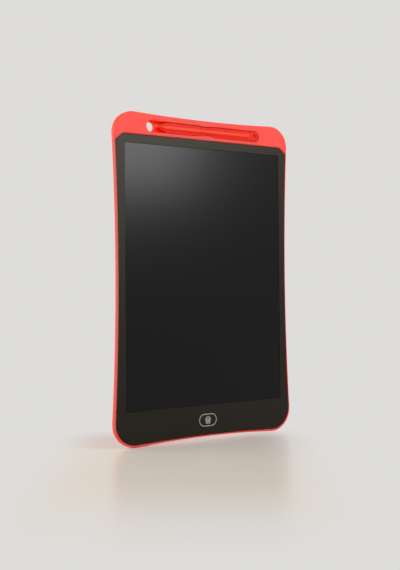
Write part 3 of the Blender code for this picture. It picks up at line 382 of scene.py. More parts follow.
def trough_outline(grow, bulge):
    """The trough with its round ends; bulge is 1 where the lips and nubs stand and 0 behind them."""
    def inward(x, reach):
        return trough_bulge(x, reach, grow) * bulge - grow * (1 - bulge)

    half = TROUGH_WIDTH / 2
    pocket = POCKET_RADIUS + grow
    spread = math.pi - math.asin((half + grow) / pocket)
    left = LIP_CENTRE_X - LIP_LENGTH / 2
    places = [NUB_X + NUB_RADIUS * (2 * k / NUB_STEPS - 1) for k in range(NUB_STEPS + 1)]
    places += [left + LIP_LENGTH * k / LIP_STEPS for k in range(LIP_STEPS + 1)]
    points = arc((HOLE_X, TROUGH_Z), half + grow, math.pi / 2, math.pi * 3 / 2, CIRCLE_STEPS // 2)
    points.append((HOLE_X, TROUGH_Z - half - grow))
    points += [(x, TROUGH_Z - half + inward(x, LOWER_LIP_REACH)) for x in sorted(places)]
    points += arc((POCKET_X, TROUGH_Z), pocket, -spread, spread, CIRCLE_STEPS)
    points.append((POCKET_X + pocket * math.cos(spread), TROUGH_Z + half + grow))
    points += [(x, TROUGH_Z + half - inward(x, UPPER_LIP_REACH)) for x in sorted(places, reverse=True)]
    return points


# Solids.


def bridge(name, rings, ring_shaped=False):
    """A closed solid through rings of (x, depth, z) points; ring_shaped joins the last ring to the first."""
    bm = bmesh.new()
    rings = [[bm.verts.new((x, RIM_Y + depth, z)) for x, depth, z in ring] for ring in rings]
    pairs = list(zip(rings, rings[1:]))
    if ring_shaped:
        pairs.append((rings[-1], rings[0]))
    else:
        bm.faces.new(list(reversed(rings[0])))
        bm.faces.new(rings[-1])
    for near, far in pairs:
        for k in range(len(near)):
            after = (k + 1) % len(near)
            bm.faces.new((near[k], near[after], far[after], far[k]))
    bmesh.ops.recalc_face_normals(bm, faces=bm.faces)
    mesh = bpy.data.meshes.new(name)
    bm.to_mesh(mesh)
    bm.free()
    thing = bpy.data.objects.new(name, mesh)
    bpy.context.scene.collection.objects.link(thing)
    return thing


def loft(name, sections, ring_shaped=False):
    """A closed solid through (outline, depth) sections from front to back."""
    rings = [[(x, depth, z) for x, z in outline] for outline, depth in sections]
    return bridge(name, rings, ring_shaped)


def grown(name, outline, levels, ring_shaped=False):
    """A closed solid through (growth, depth) levels of an outline that is a function of its growth."""
    return loft(name, [(outline(grow), depth) for grow, depth in levels], ring_shaped)


def prism(name, outline, near, far):
    return loft(name, [(outline, near), (outline, far)])


def block(name, left, right, low, high, near, far):
    return prism(name, rectangle(left, right, low, high), near, far)


def rounding(radius, depth, towards_back, steps=ROUNDING_STEPS):
    """Insets and depths of a rounded edge, from the flat face outwards."""
    pairs = []
    for k in range(steps + 1):
        angle = math.pi / 2 * k / steps
        drop = radius * (1 - math.cos(angle))
        pairs.append((radius * (1 - math.sin(angle)), depth - drop if towards_back else depth + drop))
    return pairs


def plate(name, outline, near, far, front=0, back=0):
    """A plate whose outline is a function of its inset, with its front and back edges rounded."""
    edges = rounding(front, near, False) if front else [(0, near)]
    edges += reversed(rounding(back, far, True)) if back else [(0, far)]
    return grown(name, outline, edges)


def opening(name, outline, near, far, front=0, back=0):
    """A cutter whose outline is a function of its growth, which leaves rounded rims where it comes out."""
    edges = [(0, near)]
    if front:
        edges = [(front, near - OVERRUN)] + rounding(front, near, False)
    if back:
        edges += list(reversed(rounding(back, far, True))) + [(back, far + OVERRUN)]
    else:
        edges.append((0, far))
    return grown(name, outline, edges)


def round_opening(name, x, z, radius, near, far, back=0, steps=SMALL_CIRCLE_STEPS):
    return opening(name, lambda grow: circle(x, z, radius + grow, steps), near, far, back=back)


def combine(target, other, operation):
    step = target.modifiers.new(other.name, "BOOLEAN")
    step.operation = operation
    step.solver = "EXACT"
    step.object = other
    other.hide_render = True


def cut(target, *others):
    for other in others:
        combine(target, other, "DIFFERENCE")


def add(target, *others):
    for other in others:
        combine(target, other, "UNION")


def finish_piece(piece, finish, body, slot, *replaced):
    """Gives a piece its cut shape as its own mesh, creases only its real edges and hangs it on its body."""
    tools = [step.object for step in piece.modifiers]
    graph = bpy.context.evaluated_depsgraph_get()
    mesh = bpy.data.meshes.new_from_object(piece.evaluated_get(graph))
    mesh.name = piece.name
    mesh.materials.clear()
    mesh.materials.append(finish)
    mesh.shade_smooth()
    mesh.set_sharp_from_angle(angle=math.radians(CREASE_DEGREES))
    piece.modifiers.clear()
    piece.data = mesh
    piece.modifiers.new("even_shading", "WEIGHTED_NORMAL").keep_sharp = True
    for tool in tools:
        bpy.data.objects.remove(tool, do_unlink=True)
    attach(piece, body)
    if replaced:
        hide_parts(*replaced)


# Rear shell.


def door_outline(grow):
    rise = DOOR_HALF_HEIGHT + grow
    return rounded_rectangle(CELL_X - DOOR_LEFT - grow, CELL_X + DOOR_RIGHT + grow, CELL_Z - rise,
                             CELL_Z + rise, DOOR_CORNER_RADIUS + grow)


def lock_recess_outline(grow):
    reach = (LOCK_PLATE_LENGTH + LOCK_TRAVEL) / 2 + FIT_GAP + grow
    rise = LOCK_PLATE_HEIGHT / 2 + FIT_GAP + grow
    return rounded_rectangle(LOCK_X - reach, LOCK_X + reach, LOCK_Z - rise, LOCK_Z + rise,
                             LOCK_CORNER_RADIUS + FIT_GAP)


def trough_cutter():
    """The trough from its rounded rim, past the lips and nubs, to the fillet round its floor."""
    sections = [(trough_outline(RIM_ROUNDING, 1), -OVERRUN)]
    sections += [(trough_outline(grow, 1), depth) for grow, depth in rounding(RIM_ROUNDING, 0, False)]
    sections.append((trough_outline(0, 1), LIP_DEPTH - LIP_SLOPE))
    sections.append((trough_outline(0, 0), LIP_DEPTH + LIP_SLOPE))
    for k in range(ROUNDING_STEPS + 1):
        angle = math.pi / 2 * k / ROUNDING_STEPS
        inset = TROUGH_FILLET * (1 - math.cos(angle))
        sections.append((trough_outline(-inset, 0), TROUGH_DEPTH - TROUGH_FILLET * (1 - math.sin(angle))))
    return loft("trough", sections)


def open_the_tray(shell):
    grow = FIT_GAP + SMALL_ROUNDING / 2
    pocket = [(bezel_outline(-grow), -OVERRUN), (bezel_outline(-grow), 0),
              (bezel_outline(-FIT_GAP), SMALL_ROUNDING / 2), (bezel_outline(-FIT_GAP), LEDGE_DEPTH)]
    cut(shell, loft("bezel_pocket", pocket))
    cut(shell, prism("cavity", bezel_outline(LEDGE_WIDTH), LEDGE_DEPTH - OVERRUN, INNER_DEPTH))


def open_the_battery_bay(shell):
    """A raised wall round the cell, the door's recess behind it and the door screw's boss."""
    seat = THICKNESS - DOOR_THICKNESS - BOND_GAP
    wall = seat - BAY_WALL_DEPTH
    end = THICKNESS - SCREW_HEAD_THICKNESS - SCREW_LENGTH - SCREW_END_GAP
    add(shell, prism("bay_wall", door_outline(FIT_GAP + BAY_WALL), wall, INNER_DEPTH + EMBED))
    boss = circle(DOOR_SCREW_X, CELL_Z, DOOR_SCREW_BOSS_RADIUS, SMALL_CIRCLE_STEPS)
    add(shell, prism("screw_boss", boss, wall - DOOR_SCREW_BOSS_HEIGHT, wall + EMBED))
    cut(shell, opening("door_recess", lambda grow: door_outline(FIT_GAP + grow), seat, THICKNESS,
                       back=SMALL_ROUNDING))
    cut(shell, round_opening("cell_bay", CELL_X, CELL_Z, CELL_RADIUS + FIT_GAP, LEDGE_DEPTH - OVERRUN, seat,
                             back=SMALL_ROUNDING, steps=CIRCLE_STEPS))
    cut(shell, round_opening("screw_bore", DOOR_SCREW_X, CELL_Z, SCREW_RADIUS + BOND_GAP, end, seat,
                             back=SMALL_ROUNDING))


def open_the_lock_recess(shell):
    """The slider's recess in the back, the thicker pad in front of it and the slot for the stem."""
    pad = INNER_DEPTH - LOCK_PAD_THICKNESS
    floor = THICKNESS - LOCK_RECESS_DEPTH
    add(shell, prism("lock_pad", lock_recess_outline(LOCK_PAD_MARGIN), pad, INNER_DEPTH + EMBED))
    cut(shell, opening("lock_recess", lock_recess_outline, floor, THICKNESS, back=SMALL_ROUNDING))
    reach = (LOCK_STEM_LENGTH + LOCK_TRAVEL) / 2 + FIT_GAP
    rise = LOCK_STEM_THICKNESS / 2 + FIT_GAP
    cut(shell, block("lock_slot", LOCK_X - reach, LOCK_X + reach, LOCK_Z - rise, LOCK_Z + rise,
                     pad - OVERRUN, floor + OVERRUN / 2))


def make_shell(finish):
    shell = plate("shell", lambda inset: shell_outline(VISIBLE_TRIM + inset), 0, THICKNESS, FRONT_ROUNDING,
                  BACK_ROUNDING)
    open_the_tray(shell)
    open_the_battery_bay(shell)
    open_the_lock_recess(shell)
    cut(shell, trough_cutter())
    cut(shell, round_opening("push_hole", HOLE_X, TROUGH_Z, HOLE_RADIUS, TROUGH_DEPTH - FIT_GAP, THICKNESS,
                             back=HOLE_ROUNDING, steps=CIRCLE_STEPS))
    finish_piece(shell, finish, "tablet", "shell", "rear_shell")


# Front bezel.


def erase_shape(grow):
    return pill(0, ERASE_Z, ERASE_WIDTH, ERASE_HEIGHT, grow)


def make_bezel(finish):
    bezel = plate("bezel", bezel_outline, BEZEL_RECESS, BEZEL_BACK_DEPTH, BEZEL_ROUNDING)
    far = BEZEL_BACK_DEPTH + OVERRUN
    cut(bezel, opening("window", window_outline, BEZEL_RECESS, far, WINDOW_CHAMFER))
    cut(bezel, prism("film_rebate", window_outline(FILM_MARGIN + FIT_GAP), BEZEL_MARGIN_BACK, far))
    cut(bezel, opening("erase_hole", lambda grow: erase_shape(FIT_GAP + grow), BEZEL_RECESS, far,
                       SMALL_ROUNDING))
    finish_piece(bezel, finish, "tablet", "bezel", "front_bezel")


def make_film(finish):
    """The writing sheet, whose face stands up into the window."""
    face = plate("film", lambda inset: window_outline(-FILM_FACE_INSET - inset), FILM_FACE_DEPTH,
                 FILM_BACK_DEPTH, FILM_ROUNDING)
    add(face, prism("film_margin", window_outline(FILM_MARGIN), FILM_DEPTH, FILM_BACK_DEPTH))
    finish_piece(face, finish, "tablet", "film", "writing_film")


# Erase button.


def make_erase_cap(finish):
    """The cap: a rounded face inside the ring, a shoulder under it and the flange behind the bezel."""
    ring_back = ERASE_FACE - ERASE_RING_PROUD + ERASE_RING_THICKNESS
    shoulder = ring_back + BOND_GAP
    flange = BEZEL_BACK_DEPTH + FIT_GAP
    end = flange + ERASE_FLANGE_THICKNESS
    core = -ERASE_RING_WIDTH - BOND_GAP
    sections = [(core - inset, depth) for inset, depth in rounding(ERASE_ROUNDING, ERASE_FACE, False)]
    sections += [(core, shoulder), (0, shoulder), (0, flange), (ERASE_FLANGE_WIDTH, flange),
                 (ERASE_FLANGE_WIDTH, end)]
    cap = grown("erase_cap", erase_shape, sections)
    cut(cap, prism("cap_hollow", erase_shape(-ERASE_SKIRT), ERASE_FACE + ERASE_PLATE, end + OVERRUN))
    finish_piece(cap, finish, "erase_button", "bezel", "erase_button")


def make_erase_ring(finish):
    face = ERASE_FACE - ERASE_RING_PROUD
    back = face + ERASE_RING_THICKNESS
    edges = rounding(ERASE_RING_ROUNDING, face, False)
    section = [(-inset, depth) for inset, depth in edges] + [(0, back), (-ERASE_RING_WIDTH, back)]
    section += [(inset - ERASE_RING_WIDTH, depth) for inset, depth in reversed(edges)]
    ring = grown("erase_ring", erase_shape, section, ring_shaped=True)
    finish_piece(ring, finish, "erase_button", "ring", "erase_button_ring")


# The bin's outlines, as (x, z) points from the button's middle, right half only, from top to bottom.
BIN_SCALE = 0.88
BIN_HALF = ((0, .00330), (.00075, .00322), (.00150, .00296), (.00215, .00255), (.00268, .00205),
            (.00300, .00150), (.00300, .00085), (.00272, .00060), (.00262, -.00120), (.00252, -.00300),
            (.00222, -.00330), (0, -.00330))
SLOT_HALF = ((0, .00205), (.00070, .00198), (.00130, .00172), (.00165, .00135), (.00165, .00112),
             (.00040, .00112), (.00024, .00130), (0, .00130))
LINE_HALF = ((0, -.00188), (.00150, -.00188), (.00150, -.00222), (0, -.00222))


def whole(half):
    points = half + tuple((-x, z) for x, z in reversed(half[1:-1]))
    return [(x * BIN_SCALE, ERASE_Z + z * BIN_SCALE) for x, z in points]


def make_bin_print(finish):
    near = ERASE_FACE - PRINT_PROUD
    far = ERASE_FACE + PRINT_ROOT
    icon = prism("bin_print", whole(BIN_HALF), near, far)
    cut(icon, prism("bin_slot", whole(SLOT_HALF), near - OVERRUN, far + OVERRUN))
    cut(icon, prism("bin_line", whole(LINE_HALF), near - OVERRUN, far + OVERRUN))
    finish_piece(icon, finish, "erase_button", "ring")


# Stylus.


def stylus_half_width(x, reach):
    """Half the body's width at x, on the side whose lip has this reach: tapering, full or drawn in."""
    full = STYLUS_WIDTH / 2
    along = (x - STYLUS_TIP_X) / STYLUS_NOSE_LENGTH
    if along < 1:
        return STYLUS_TIP_HALF_WIDTH + (full - STYLUS_TIP_HALF_WIDTH) * along
    return min(full, TROUGH_WIDTH / 2 - reach * lip_share(x) - FIT_GAP)


def ridge_share(x):
    """How much of the ridge's height stands at x, with a quarter-round end before the tail."""
    into = min(max((x - STYLUS_RIDGE_END + STYLUS_RIDGE_ROUNDING) / STYLUS_RIDGE_ROUNDING, 0), 1)
    return math.sqrt(1 - into ** 2)


def nose_share(x, at_tip):
    """A share that grows from its value at the tip to 1 where the nose ends."""
    along = min((x - STYLUS_TIP_X) / STYLUS_NOSE_LENGTH, 1)
    return at_tip + (1 - at_tip) * math.sin(math.pi / 2 * along)


def stylus_section(x):
    """The (depth, z) points of a cross-section: a crested ridge, two flat shoulders and a rounded keel."""
    below = stylus_half_width(x, LOWER_LIP_REACH)
    above = stylus_half_width(x, UPPER_LIP_REACH)
    corner = min(STYLUS_ROUNDING, below / 3)
    ridge = min(STYLUS_RIDGE_WIDTH / 2, below - corner * 3 / 2)
    height = STYLUS_RIDGE_HEIGHT * ridge_share(x) * nose_share(x, STYLUS_TIP_CREST)
    shoulder = STYLUS_BACK_DEPTH - STYLUS_KEEL
    deep = nose_share(x, STYLUS_TIP_KEEL)
    edge = shoulder + STYLUS_EDGE * deep
    foot = math.hypot(1, STYLUS_CREST)
    points = []
    for k in range(STYLUS_STEPS + 1):
        across = math.cos(math.pi * k / STYLUS_STEPS)
        rise = (foot - math.hypot(across, STYLUS_CREST)) / (foot - STYLUS_CREST)
        points.append((shoulder - height * rise, TROUGH_Z + ridge * across))
    corners = rounding(corner, shoulder, False, STYLUS_CORNER_STEPS)
    points += [(depth, TROUGH_Z - below + inset) for inset, depth in corners]
    for k in range(STYLUS_STEPS + 1):
        angle = math.pi * k / STYLUS_STEPS
        keel = (STYLUS_KEEL - STYLUS_EDGE) * deep * math.sin(angle)
        across = (above - below - (above + below) * math.cos(angle)) / 2
        points.append((edge + keel, TROUGH_Z + across))
    points += [(depth, TROUGH_Z + above - inset) for inset, depth in reversed(corners)]
    return points


def stylus_xs():
    places = [STYLUS_TIP_X + STYLUS_NOSE_LENGTH * k / STYLUS_STEPS for k in range(STYLUS_STEPS + 1)]
    left = LIP_CENTRE_X - LIP_LENGTH / 2
    places += [left + LIP_LENGTH * k / LIP_STEPS for k in range(LIP_STEPS + 1)]
    for k in range(STYLUS_STEPS // 2 + 1):
        angle = math.pi / 2 * k / (STYLUS_STEPS // 2)
        places.append(STYLUS_RIDGE_END - STYLUS_RIDGE_ROUNDING * (1 - math.sin(angle)))
    places.append(POCKET_X - TAIL_RADIUS + TAIL_OVERLAP)
    return places


def tail_eye(face):
    """A cutter for the eye in the tail, a bowl with a rounded rim."""
    edges = [(TAIL_ROUNDING, face - OVERRUN)] + rounding(TAIL_ROUNDING, face, False)
    for k in range(1, TAIL_EYE_STEPS):
        angle = math.pi / 2 * k / TAIL_EYE_STEPS
        edges.append((TAIL_EYE_RADIUS * (math.cos(angle) - 1), face + TAIL_ROUNDING
                      + (TAIL_EYE_DEPTH - TAIL_ROUNDING) * math.sin(angle)))
    return grown("eye", lambda grow: circle(POCKET_X, TROUGH_Z, TAIL_EYE_RADIUS + grow, SMALL_CIRCLE_STEPS),
                 edges)


def make_stylus(finish):
    """The body from its tip to the tail, and the round tail with the eye in it."""
    rings = [[(x, depth, z) for depth, z in stylus_section(x)] for x in stylus_xs()]
    stylus = bridge("stylus_body", rings)
    face = STYLUS_BACK_DEPTH - STYLUS_KEEL - TAIL_STEP
    back = face + TAIL_THICKNESS
    add(stylus, plate("tail", lambda inset: circle(POCKET_X, TROUGH_Z, TAIL_RADIUS - inset), face, back,
                      TAIL_ROUNDING, TAIL_ROUNDING))
    cut(stylus, tail_eye(face))
    finish_piece(stylus, finish, "stylus", "stylus", "stylus")


# Battery door and cell.


def cross_recess(name, x, z, depth):
    """Cutters for a screwdriver's tapered cross, in a head whose face is at depth."""
    levels = [(CROSS_MOUTH, depth + OVERRUN / 4), (1, depth), (CROSS_FOOT, depth - CROSS_DEPTH)]
    arms = []
    for k, halves in enumerate(((CROSS_REACH, CROSS_HALF_WIDTH), (CROSS_HALF_WIDTH, CROSS_REACH))):
        sections = []
        for share, level in levels:
            wide, high = halves[0] * share, halves[1] * share
            sections.append((rectangle(x - wide, x + wide, z - high, z + high), level))
        arms.append(loft(f"{name}_{k}", sections))
    return arms


def make_door(plastic_finish, steel):
    near = THICKNESS - DOOR_THICKNESS
    door = plate("door", lambda inset: door_outline(-inset), near, THICKNESS, SMALL_ROUNDING, DOOR_ROUNDING)
    seat = THICKNESS - SCREW_HEAD_THICKNESS - BOND_GAP
    cut(door, round_opening("screw_seat", DOOR_SCREW_X, CELL_Z, SCREW_HEAD_RADIUS + BOND_GAP, seat, THICKNESS,
                            back=DOOR_ROUNDING))
    cut(door, round_opening("screw_hole", DOOR_SCREW_X, CELL_Z, SCREW_RADIUS + BOND_GAP, near - OVERRUN,
                            seat + OVERRUN / 10))
    left = CELL_X - DOOR_LEFT
    nick = [(left - OVERRUN, CELL_Z - DOOR_NICK_WIDTH / 2)]
    for k in range(SMALL_CIRCLE_STEPS // 2 + 1):
        angle = math.pi * (k / (SMALL_CIRCLE_STEPS // 2) - 1 / 2)
        nick.append((left + DOOR_NICK_LENGTH * math.cos(angle),
                     CELL_Z + DOOR_NICK_WIDTH / 2 * math.sin(angle)))
    nick.append((left - OVERRUN, CELL_Z + DOOR_NICK_WIDTH / 2))
    cut(door, prism("nick", nick, THICKNESS - DOOR_NICK_DEPTH, THICKNESS + OVERRUN))
    finish_piece(door, plastic_finish, "battery_door", "shell", "battery_door")
    head = THICKNESS - SCREW_HEAD_THICKNESS
    sections = [(SCREW_RADIUS * 3 / 4, head - SCREW_LENGTH), (SCREW_RADIUS, head - SCREW_LENGTH * 9 / 10),
                (SCREW_RADIUS, head), (SCREW_HEAD_RADIUS, head)]
    sections += [(SCREW_HEAD_RADIUS - inset, depth)
                 for inset, depth in reversed(rounding(SMALL_ROUNDING, THICKNESS, True))]
    screw = grown("door_screw", lambda radius: circle(DOOR_SCREW_X, CELL_Z, radius, SMALL_CIRCLE_STEPS),
                  sections)
    cut(screw, *cross_recess("cross", DOOR_SCREW_X, CELL_Z, THICKNESS))
    finish_piece(screw, steel, "battery_door", "screws", "battery_door_screw")


def make_cell(finish):
    """The coin cell: its negative cap in front, the crimped can behind and a plus pressed in its back."""
    back = CELL_DEPTH + CELL_THICKNESS
    rim = CELL_DEPTH + CELL_CAP_THICKNESS
    bevel = CELL_CAP_THICKNESS / 2
    sections = [(CELL_CAP_RADIUS - bevel, CELL_DEPTH), (CELL_CAP_RADIUS, CELL_DEPTH + bevel),
                (CELL_CAP_RADIUS, rim)]
    for inset, depth in rounding(CELL_ROUNDING, rim, False) + rounding(CELL_ROUNDING, back, True)[::-1]:
        sections.append((CELL_RADIUS - inset, depth))
    cell = grown("cell", lambda radius: circle(CELL_X, CELL_Z, radius), sections)
    z = CELL_Z + PLUS_RISE
    for name, wide, high in (("plus_across", PLUS_REACH, PLUS_HALF_WIDTH),
                             ("plus_up", PLUS_HALF_WIDTH, PLUS_REACH)):
        cut(cell, block(name, CELL_X - wide, CELL_X + wide, z - high, z + high, back - PLUS_DEPTH,
                        back + OVERRUN))
    finish_piece(cell, finish, "tablet", "nickel", "coin_cell")


# Erase lock.


def make_lock_slider(finish):
    """A ridged plate in the back, with a forked stem that grips the switch's lever."""
    x = LOCK_X - LOCK_TRAVEL / 2
    near = THICKNESS - LOCK_RECESS_DEPTH + BOND_GAP
    back = near + LOCK_PLATE_THICKNESS
    half_length = LOCK_PLATE_LENGTH / 2
    half_height = LOCK_PLATE_HEIGHT / 2

    def outline(inset):
        return rounded_rectangle(x - half_length + inset, x + half_length - inset,
                                 LOCK_Z - half_height + inset, LOCK_Z + half_height - inset,
                                 LOCK_CORNER_RADIUS - inset)

    slider = plate("slider", outline, near, back, 0, SMALL_ROUNDING)
    for k in range(LOCK_RIDGE_COUNT):
        place = x + (k - (LOCK_RIDGE_COUNT - 1) / 2) * LOCK_RIDGE_PITCH

        def ridge(inset, place=place):
            wide = LOCK_RIDGE_WIDTH / 2 - inset
            high = half_height * 2 / 3 - inset
            return rounded_rectangle(place - wide, place + wide, LOCK_Z - high, LOCK_Z + high,
                                     LOCK_RIDGE_WIDTH / 2 * LOCK_RIDGE_SOFTNESS - inset)

        add(slider, plate(f"ridge_{k}", ridge, back - LOCK_PLATE_THICKNESS / 2, back + LOCK_RIDGE_HEIGHT, 0,
                          LOCK_RIDGE_HEIGHT * LOCK_RIDGE_SOFTNESS))
    front = BEZEL_BACK_DEPTH + FIT_GAP
    half_stem = LOCK_STEM_LENGTH / 2
    half_width = LOCK_STEM_THICKNESS / 2
    add(slider, block("stem", x - half_stem, x + half_stem, LOCK_Z - half_width, LOCK_Z + half_width, front,
                      near + LOCK_PLATE_THICKNESS / 2))
    barb = INNER_DEPTH - LOCK_PAD_THICKNESS - FIT_GAP
    add(slider, block("barb", x - half_stem, x + half_stem, LOCK_Z - half_width - LOCK_BARB_REACH,
                      LOCK_Z + half_width + LOCK_BARB_REACH, barb - LOCK_BARB_THICKNESS, barb))
    half_gap = LOCK_LEVER_WIDTH / 2 + BOND_GAP
    cut(slider, block("fork", x - half_gap, x + half_gap, LOCK_Z - half_width - OVERRUN,
                      LOCK_Z + half_width + OVERRUN, front - OVERRUN, LOCK_FORK_END))
    finish_piece(slider, finish, "lock_slider", "bezel", "lock_slider")


# Materials. Colours are linear red, green and blue. A deep colour comes with the two depths between which it
# takes over from the colour in front. Both deep blends are painted light: the shell's redder trough is
# painted shade and glow, and the stylus's paler front is a painted highlight along its crest.

CORAL = (0.93, 0.060, 0.041)
# Painted shade and glow in the trough: a deeper, more saturated red that stands in for light bounced and
# scattered there.
CORAL_TROUGH_SHADE_AND_GLOW = ((1.0, 0.046, 0.004), 0.0001, 0.0010)
# The paler red in front is a painted highlight along the stylus's crest; the deep red behind it is the
# stylus's own colour.
STYLUS_CREST_HIGHLIGHT_RED = (0.87, 0.092, 0.066)
STYLUS_RED_DEEP = ((0.83, 0.026, 0.010), -0.0009, -0.0001)
BEZEL_LOOK = {"colour": (0.0060, 0.0040, 0.0022), "roughness": 0.375, "wear": 0.25, "specular": 0.235,
              "gloss_tint": (1, 0.94, 0.80)}
FILM_BLACK = (0.0008, 0.0008, 0.0009)
FILM_SPECULAR = 0.195
FILM_ROUGHNESS = (0.192, 0.208)
SCATTER_REACH = (0.0055, 0.0006, 0.0003)
GLOSS_SPREAD = 0.07
# Edge wear: how far a face points forwards or back where wear starts and ends, and the levels of its patches.
RUBBED_GLOSS = 0.25
WEAR_STARTS = (0.15, 0.45)
WEAR_ENDS = (0.80, 0.97)
WEAR_PATCHES = (0.42, 0.62)


class Nodes:
    """A short way to wire the nodes of a material or a world."""

    def __init__(self, owner, shader="Principled BSDF"):
        owner.use_nodes = True
        self.owner = owner
        self.tree = owner.node_tree
        self.shader = self.tree.nodes[shader]

    def add(self, kind, **values):
        """A new node with its settings, and its inputs by name with underscores for spaces."""
        node = self.tree.nodes.new(kind)
        for key, value in values.items():
            if hasattr(node, key):
                setattr(node, key, value)
            else:
                node.inputs[key.replace("_", " ")].default_value = value
        return node

    def link(self, source, target):
        """Gives an input another node's output, or a plain value."""
        if isinstance(source, bpy.types.NodeSocket):
            self.tree.links.new(source, target)
        else:
            target.default_value = source

    def shade(self, **values):
        """Gives the shader's inputs other nodes' outputs or plain values."""
        for key, value in values.items():
            self.link(value, self.shader.inputs[key.replace("_", " ")])

    def show(self, share, first, second, output):
        """Shows the first node's shader where the share is 0 and the second's where it is 1."""
        blend = self.add("ShaderNodeMixShader")
        for source, target in zip((share, first.outputs[0], second.outputs[0]), blend.inputs):
            self.link(source, target)
        self.link(blend.outputs[0], self.tree.nodes[output].inputs["Surface"])

    def place(self):
        return self.add("ShaderNodeTexCoord").outputs["Object"]

    def split(self, vector):
        step = self.add("ShaderNodeSeparateXYZ")
        self.link(vector, step.inputs[0])
        return step.outputs

    def noise(self, place, scale, detail=3):
        cloud = self.add("ShaderNodeTexNoise", Scale=scale, Detail=detail, Roughness=0.5)
        self.link(place, cloud.inputs["Vector"])
        return cloud.outputs["Fac"]

    def spread(self, value, low, high, start=0, end=1, shape="LINEAR"):
        """The value from start to end, turned into a number from low to high."""
        step = self.add("ShaderNodeMapRange", interpolation_type=shape, From_Min=start, From_Max=end,
                        To_Min=low, To_Max=high)
        self.link(value, step.inputs["Value"])
        return step.outputs["Result"]

    def fade(self, value, start, end):
        """1 up to the start, falling softly to 0 at the end."""
        return self.spread(value, 1, 0, start, end, "SMOOTHSTEP")

    def calculate(self, operation, *sources):
        step = self.add("ShaderNodeMath", operation=operation)
        for source, target in zip(sources, step.inputs):
            self.link(source, target)
        return step.outputs[0]

    def times(self, first, second):
        return self.calculate("MULTIPLY", first, second)

    def plus(self, first, second):
        return self.calculate("ADD", first, second)

    def edge_wear(self, place):
        """How much a face's rim is rubbed: full on rounded edges, nothing on flats, in patches."""
        normal = self.split(self.add("ShaderNodeTexCoord").outputs["Normal"])
        facing = self.calculate("ABSOLUTE", normal["Y"])
        rise = self.spread(facing, 0, 1, *WEAR_STARTS)
        fall = self.spread(facing, 1, 0, *WEAR_ENDS)
        patches = self.spread(self.noise(place, scale=260), 0, 1, *WEAR_PATCHES)
        return self.times(self.times(rise, fall), patches)

    def tint(self, colour, share):
        """Gives the shader a colour, plain or another node's, made lighter or darker by a share."""
        scaled = self.add("ShaderNodeVectorMath", operation="SCALE")
        self.link(colour, scaled.inputs[0])
        self.link(share, scaled.inputs["Scale"])
        self.shade(Base_Color=scaled.outputs["Vector"])

    def painted_light_by_depth(self, place, colour, deep_colour, near, far):
        """The colour in front, turned into the deep one between two depths, within the trough's height.
        This paints light: shade and glow in the shell's trough, and a highlight along the stylus's crest.
        """
        spot = self.split(place)
        low, high = TROUGH_Z - POCKET_RADIUS, TROUGH_Z + POCKET_RADIUS
        deep = self.spread(spot["Y"], 0, 1, RIM_Y + near, RIM_Y + far)
        above = self.spread(spot["Z"], 0, 1, low - OVERRUN, low)
        below = self.spread(spot["Z"], 1, 0, high, high + OVERRUN)
        in_front = self.spread(spot["Y"], 1, 0, RIM_Y + TROUGH_DEPTH, RIM_Y + THICKNESS)
        inside = self.times(self.times(above, below), self.times(deep, in_front))
        blend = self.add("ShaderNodeMix", data_type="RGBA")
        self.link(inside, blend.inputs["Factor"])
        ends = [socket for socket in blend.inputs if socket.type == "RGBA"]
        for end, value in zip(ends, (colour, deep_colour)):
            end.default_value = (*value, 1)
        return next(socket for socket in blend.outputs if socket.type == "RGBA")

    def bump(self, height, distance):
        step = self.add("ShaderNodeBump", Strength=1, Distance=distance)
        self.link(height, step.inputs["Height"])
        self.shade(Normal=step.outputs["Normal"])

    def stretched(self, place, across, along, deep):
        """Coordinates for a grain that runs along one direction."""
        step = self.add("ShaderNodeMapping", Scale=(across, deep, along))
        self.link(place, step.inputs["Vector"])
        return step.outputs["Vector"]


def plastic(name, colour, roughness, grain=0.000006, grain_scale=3500, mottle=0.03, wear=0.06, specular=0.5,
            glow=0, gloss_tint=(1, 1, 1), deep=None):
    """Moulded plastic: a fine spark-eroded grain, a faint mottle, uneven gloss and rubbed edges.

    The grain is the bump's height in metres, and glow is the share of light that scatters under the surface.
    """
    n = Nodes(bpy.data.materials.new(name))
    place = n.place()
    worn = n.edge_wear(place)
    cloud = n.noise(place, scale=45, detail=4)
    share = n.plus(n.spread(cloud, 1 - mottle, 1 + mottle), n.times(worn, wear))
    # A deep colour, when given, paints light by depth: shade and glow in the trough, or a highlight along a
    # crest.
    n.tint(n.painted_light_by_depth(place, colour, *deep) if deep else colour, share)
    gloss = n.spread(n.noise(place, scale=130), roughness * (1 - GLOSS_SPREAD),
                     roughness * (1 + GLOSS_SPREAD))
    fine = n.noise(place, grain_scale, detail=2)
    coarse = n.noise(place, grain_scale / 6, detail=2)
    n.bump(n.plus(fine, n.times(coarse, 0.5)), grain)
    n.shade(Roughness=n.plus(gloss, n.times(worn, -roughness * RUBBED_GLOSS)), Specular_IOR_Level=specular,
            Specular_Tint=(*gloss_tint, 1))
    if glow:
        n.shade(Subsurface_Weight=glow, Subsurface_Radius=SCATTER_REACH, Subsurface_Scale=1)
    return n.owner


def film_finish():
    """The writing film: near-black with a soft gloss, faint smears and hair-fine stylus marks."""
    n = Nodes(bpy.data.materials.new("writing_film_gloss"))
    place = n.place()
    n.tint(FILM_BLACK, n.spread(n.noise(place, scale=30, detail=4), 0.9, 1.1))
    smear = n.noise(n.stretched(place, across=14, along=5, deep=14), 1, detail=4)
    marks = n.noise(n.stretched(place, across=2600, along=60, deep=200), 1)
    n.bump(n.plus(n.times(marks, 0.4), n.noise(place, scale=2500, detail=2)), 0.0000015)
    n.shade(Roughness=n.spread(smear, *FILM_ROUGHNESS), Specular_IOR_Level=FILM_SPECULAR)
    return n.owner


